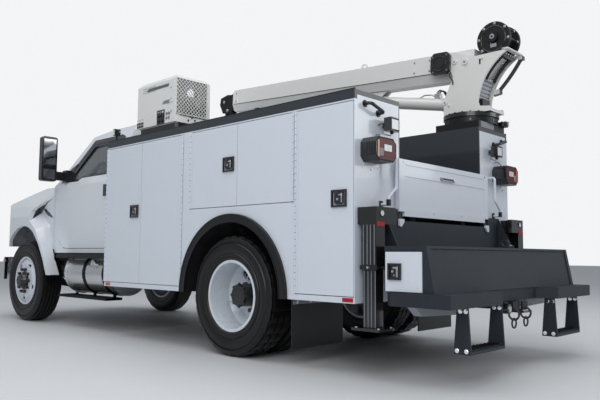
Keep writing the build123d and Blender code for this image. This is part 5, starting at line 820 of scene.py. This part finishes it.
for side, hand in SIDES:
    truck = Pen("truck", side)
    door = Pen(f"cab_door_{hand}", side)
    mirror = Pen(f"cab_door_{hand}", side, station(3.29))
    mirror.box("mirror", (0.001, 1.15, 1.9), (-0.003, 1.298, 2.205))
    mirror.box("mirror", (0.001, 1.156, 1.728), (-0.003, 1.292, 1.842))
    mirror.box("gloss", (0.001, 1.142, 1.85), (-0.007, 1.306, 1.89))
    door.box("black", (3.3, 1.0, 1.726), (3.355, 1.14, 1.822))
    door.plate("gloss", on_door(SAIL, 0.0005), (0, 0.009, 0))
    door.run("gloss", [(2.318, 1.0165, 1.5), (2.322, 1.024, 1.55), (2.318, 1.0165, 1.602)], 0.006)
    door.run("hose", on_door(WINDOW_SEAL, -0.002), 0.007, 6)
    door.plate("gloss", on_door(PILLAR, 0.0005), (0, 0.004, 0))
    # Headlamps in the hood's front: a dark bowl, two lenses in their rims and an amber edge
    hood = Pen("hood", side, HOOD_NOSE)
    bowl = octagon(band(side, 0.562, 0.798), (1.122, 1.298), 0.016)
    at("hood", "gloss").plate([(HOOD_NOSE - 0.0005, y, z) for y, z in bowl], (0.0025, 0, 0))
    for out in (0.622, 0.724):
        hood.bar("clear", (0.002, out, 1.214), (0.008, out, 1.214), 0.044, 28)
        hood.ring("chrome", (0.003, out, 1.214), ALONG, 0.047, 0.005, 32, 8)
    hood.box("amber", (0.001, 0.776, 1.15), (0.006, 0.792, 1.28))
    rim = [(HOOD_NOSE + 0.001, y, z) for y, z in bowl]
    at("hood", "chrome").run(rim + rim[:1], 0.004, 6)
    truck.plate("gloss", [(x, 1.0235, z) for x, z in VENT], (0, 0.004, 0))
    for slat in range(4):
        x = 3.605 + 0.048 * slat
        truck.bar("grey", (x, 1.0275, 1.292 + 0.02 * slat), (x + 0.022, 1.0275, 1.33 + 0.02 * slat), 0.003, 6)
    truck.box("black", (2.15, 0.985, 0.846), (3.24, 0.998, 0.8505))
    truck.run("black", [(3.531, 0.6, 1.752), (3.386, 0.36, 1.905), (3.351, 0.28, 1.94)], 0.008)
    truck.run("black", [(3.446, 0.66, 1.842), (3.351, 0.28, 1.94), (3.326, 0.02, 1.965)], 0.006)
    truck.box("amber", (4.56, 1.164, 0.73), (4.64, 1.167, 0.755))
    truck.run("silver", [(4.726, 0.34, 0.56), (4.866, 0.34, 0.545), (4.896, 0.34, 0.575), (4.866, 0.34, 0.605),
                         (4.826, 0.34, 0.6)], 0.012)
    # Fuel tank and step: cap ring, strap bolts and tread nubs on the boards
    for nub in range(20):
        x = 2.12 + 0.056 * nub
        for y in (1.04, 1.085):
            truck.bar("black", (x, y, 0.837), (x, y, 0.842), 0.012, 8)
fixed.ring("silver", (2.5, 1.05, 0.73), OUT, 0.04, 0.005, 28, 6)
for strap in TANK_STRAPS:
    fixed.bar("silver", (strap, 1.04, 0.548), (strap, 1.058, 0.545), 0.009, 8)
fixed.ring("chrome", (TANK_STRAPS[2], 0.8, 0.62), ALONG, 0.2475, 0.004, 64, 6)
fixed.box("black", (3.576, -0.8, 1.69), (3.598, 0.8, 1.697))

# Chassis: frame bolts, U bolts with their nuts, and brake chambers
for side, hand in SIDES:
    truck = Pen("truck", side)
    for spot in range(24):
        x = -1.124 + 0.24 * spot
        for z in (0.8, 0.93):
            truck.bolt("iron", (x, 0.43, z), OUT, 0.012, 0.01)
    for axle_x, spring_y, foot, crest in ((FRONT_AXLE_X, 0.392, 0.474, 0.584), (REAR_AXLE_X, 0.486, 0.55, 0.646)):
        axle = Pen("truck", side, axle_x)
        for x in (-0.045, 0.045):
            for y in (spring_y - 0.047, spring_y + 0.047):
                axle.bar("iron", (x, y, foot - 0.03), (x, y, crest + 0.02), 0.009, 8)
                axle.bar("silver", (x, y, foot - 0.034), (x, y, foot - 0.02), 0.015, 6)
    truck.bar("iron", (-0.06, 0.33, 0.56), (-0.21, 0.33, 0.6), 0.072, 24)
    truck.ring("iron", (-0.14, 0.33, 0.581), (-0.966, 0, 0.258), 0.074, 0.006, 28, 6)

# Wheels: hub bolts and valve stems
for side, hand in SIDES:
    front = Pen(f"front_wheel_{hand}", side, FRONT_AXLE_X)
    rear = Pen(f"rear_wheels_{hand}", side)
    for c, s in around(8):
        front.bolt("gloss", (0.07 * c, 1.206, AXLE_Z + 0.07 * s), OUT, 0.008, 0.01)
        rear.bolt("gloss", (0.09 * c, 1.075, AXLE_Z + 0.09 * s), OUT, 0.013, 0.014)
    front.ring("gloss", (0, 1.221, AXLE_Z), OUT, 0.045, 0.005, 28, 6)
    rear.ring("gloss", (0, 1.091, AXLE_Z), OUT, 0.06, 0.006, 32, 6)
    rear.run("silver", [(0.19, 0.905, 0.44), (0.215, 0.96, 0.433), (0.238, 1.02, 0.426)], 0.0045)
    front.run("silver", [(0.228, 1.118, 0.43), (0.232, 1.145, 0.428)], 0.0045)


# Cab interior: padded seats on their bases, dash and steering wheel
def pad_form(batch, centre, half, tilt=0.0, crown=0.3, rows=14, turns=32):
    """A crowned cushion: a rounded block whose faces swell, tilted about Y."""
    lean = Matrix.Rotation(tilt, 4, "Y")

    def soft(value):
        return math.copysign(abs(value) ** crown, value)

    points = []
    for row in range(rows + 1):
        height = -math.pi / 2 + math.pi * row / rows
        flat, rise = soft(math.cos(height)), soft(math.sin(height))
        for c, s in around(turns):
            p = Vector((half[0] * flat * soft(c), half[1] * flat * soft(s), half[2] * rise))
            points.append(Vector(centre) + lean @ p)
    faces = [(r * turns + s, r * turns + (s + 1) % turns, (r + 1) * turns + (s + 1) % turns, (r + 1) * turns + s)
             for r in range(rows) for s in range(turns)]
    batch.add(points, faces)


for name, seat_y, half in (("driver", 0.47, 0.252), ("bench", -0.38, 0.422)):
    cushion, back, trim = Batch(), Batch(), Batch()
    pad_form(cushion, (1.309, seat_y, 1.372), (0.268, half, 0.064))
    pad_form(back, (1.019, seat_y, 1.7), (0.056, half - 0.01, 0.312), tilt=-0.15)
    shape = cushion.piece(f"{name}_cushion", "truck", "seat_cloth", "interior_plastic", smooth=60)
    shape = back.piece(f"{name}_back", "truck", "seat_cloth", "interior_plastic", smooth=60)
    for out in (-half * 0.45, half * 0.45):
        trim.run([(1.06, seat_y + out, 1.4335), (1.2, seat_y + out, 1.4365), (1.42, seat_y + out, 1.4365),
                  (1.56, seat_y + out, 1.4305)], 0.003, 6)
    trim.piece(f"{name}_seams", "truck", "hose_rubber", "interior_plastic")
    at("truck", "plastic").box((1.1, seat_y - half + 0.04, 1.063), (1.53, seat_y + half - 0.04, 1.312))
dash = Batch()
dash.plate([(2.106, -0.858, 1.362), (1.88, -0.858, 1.362), (1.79, -0.858, 1.43), (1.782, -0.858, 1.54),
            (1.85, -0.858, 1.592), (2.106, -0.858, 1.598)], (0, 1.716, 0))
dash.box((1.8, 0.3, 1.56), (1.96, 0.64, 1.598))
shape = dash.piece("dash", "truck", "interior", "interior_plastic", smooth=30, bevel=0.012)
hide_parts("cab_interior")
wheel_middle = Vector((1.694, 0.47, 1.565))
wheel_way = Vector((-0.82, 0, 0.57)).normalized()
plastic = at("truck", "plastic")
plastic.ring(wheel_middle, wheel_way, 0.208, 0.014, 40, 10)
across = Vector((0, 1, 0))
other = wheel_way.cross(across)
for turn in (0, 2.1, 4.2):
    plastic.bar(wheel_middle, wheel_middle + 0.205 * (across * math.cos(turn) + other * math.sin(turn)), 0.014, 8)
plastic.bar(wheel_middle - wheel_way * 0.16, wheel_middle + wheel_way * 0.012, 0.034, 20)

BEVELS = {"silver": 0.0015, "black": 0.002, "gloss": 0.0015, "clear": 0.0015, "white": 0.0015}
for (body, look), batch in details.items():
    batch.piece(f"{body}_{look}_trim", body, *LOOKS[look].split(), bevel=BEVELS.get(look, 0.0))

# The photo's camera, the lamps and the floor
CAMERA_PLACE = Vector((-5.5677, 4.7086, 0.8424))
CAMERA_YAW, CAMERA_PITCH, CAMERA_ROLL = -0.8121, 0.0851, 0.007
PHOTO_WIDTH, FOCAL_PIXELS = 600, 644.87
SENSOR_WIDTH = 36.0

forward = Vector((math.cos(CAMERA_YAW) * math.cos(CAMERA_PITCH), math.sin(CAMERA_YAW) * math.cos(CAMERA_PITCH),
                  math.sin(CAMERA_PITCH)))
level = Vector((math.sin(CAMERA_YAW), -math.cos(CAMERA_YAW), 0))
upright = level.cross(forward)
right = math.cos(CAMERA_ROLL) * level + math.sin(CAMERA_ROLL) * upright
up = -math.sin(CAMERA_ROLL) * level + math.cos(CAMERA_ROLL) * upright
camera = new_object("camera", bpy.data.cameras.new("camera"))
camera.data.sensor_width = SENSOR_WIDTH
camera.data.lens = FOCAL_PIXELS / PHOTO_WIDTH * SENSOR_WIDTH
camera.data.clip_end = 200
camera.matrix_world = Matrix.Translation(CAMERA_PLACE) @ Matrix((right, up, -forward)).transposed().to_4x4()
bpy.context.scene.camera = camera


def softbox(name, place, target, size, power):
    """A square area lamp that faces a target."""
    lamp = bpy.data.lights.new(name, "AREA")
    lamp.shape = "SQUARE"
    lamp.size = size
    lamp.energy = power
    shape = new_object(name, lamp)
    shape.location = place
    shape.rotation_euler = (Vector(target) - Vector(place)).to_track_quat("-Z", "Y").to_euler()


softbox("overhead", (0, 1, 9), (0, 0, 1), 9, 500)
softbox("key", (-7, 8, 6), (-1, 0, 1), 6, 390)
softbox("rear", (-9, -6, 5), (-1, 0, 1), 5, 180)

FLOOR_HALF = 60
floor_mesh = bpy.data.meshes.new("floor")
floor_mesh.from_pydata([(x * FLOOR_HALF, y * FLOOR_HALF, 0) for x, y in ((-1, -1), (1, -1), (1, 1), (-1, 1))], [],
                       [(0, 1, 2, 3)])
floor = new_object("floor", floor_mesh)
finish("floor_paint", (0.62, 0.63, 0.64), 0.55, vary=0.03, grain=0.8)
floor_mesh.materials.append(finishes["floor_paint"])

world = bpy.data.worlds.new("studio")
world.use_nodes = True
bpy.context.scene.world = world
sky = Nodes(world.node_tree)
background = world.node_tree.nodes["Background"]
background.inputs["Color"].default_value = (0.8, 0.84, 0.9, 1)
background.inputs["Strength"].default_value = 0.45
seen = sky.add("ShaderNodeBackground", in_Color=(0.9, 0.91, 0.92, 1), in_Strength=1.0)
path = sky.add("ShaderNodeLightPath")
either = sky.math("MAXIMUM", path.outputs["Is Camera Ray"], path.outputs["Is Transmission Ray"])
both = sky.add("ShaderNodeMixShader", in_0=either, in_1=background.outputs[0], in_2=seen.outputs[0])
world.node_tree.links.new(both.outputs[0], world.node_tree.nodes["World Output"].inputs["Surface"])

bpy.context.scene.view_settings.view_transform = "Standard"
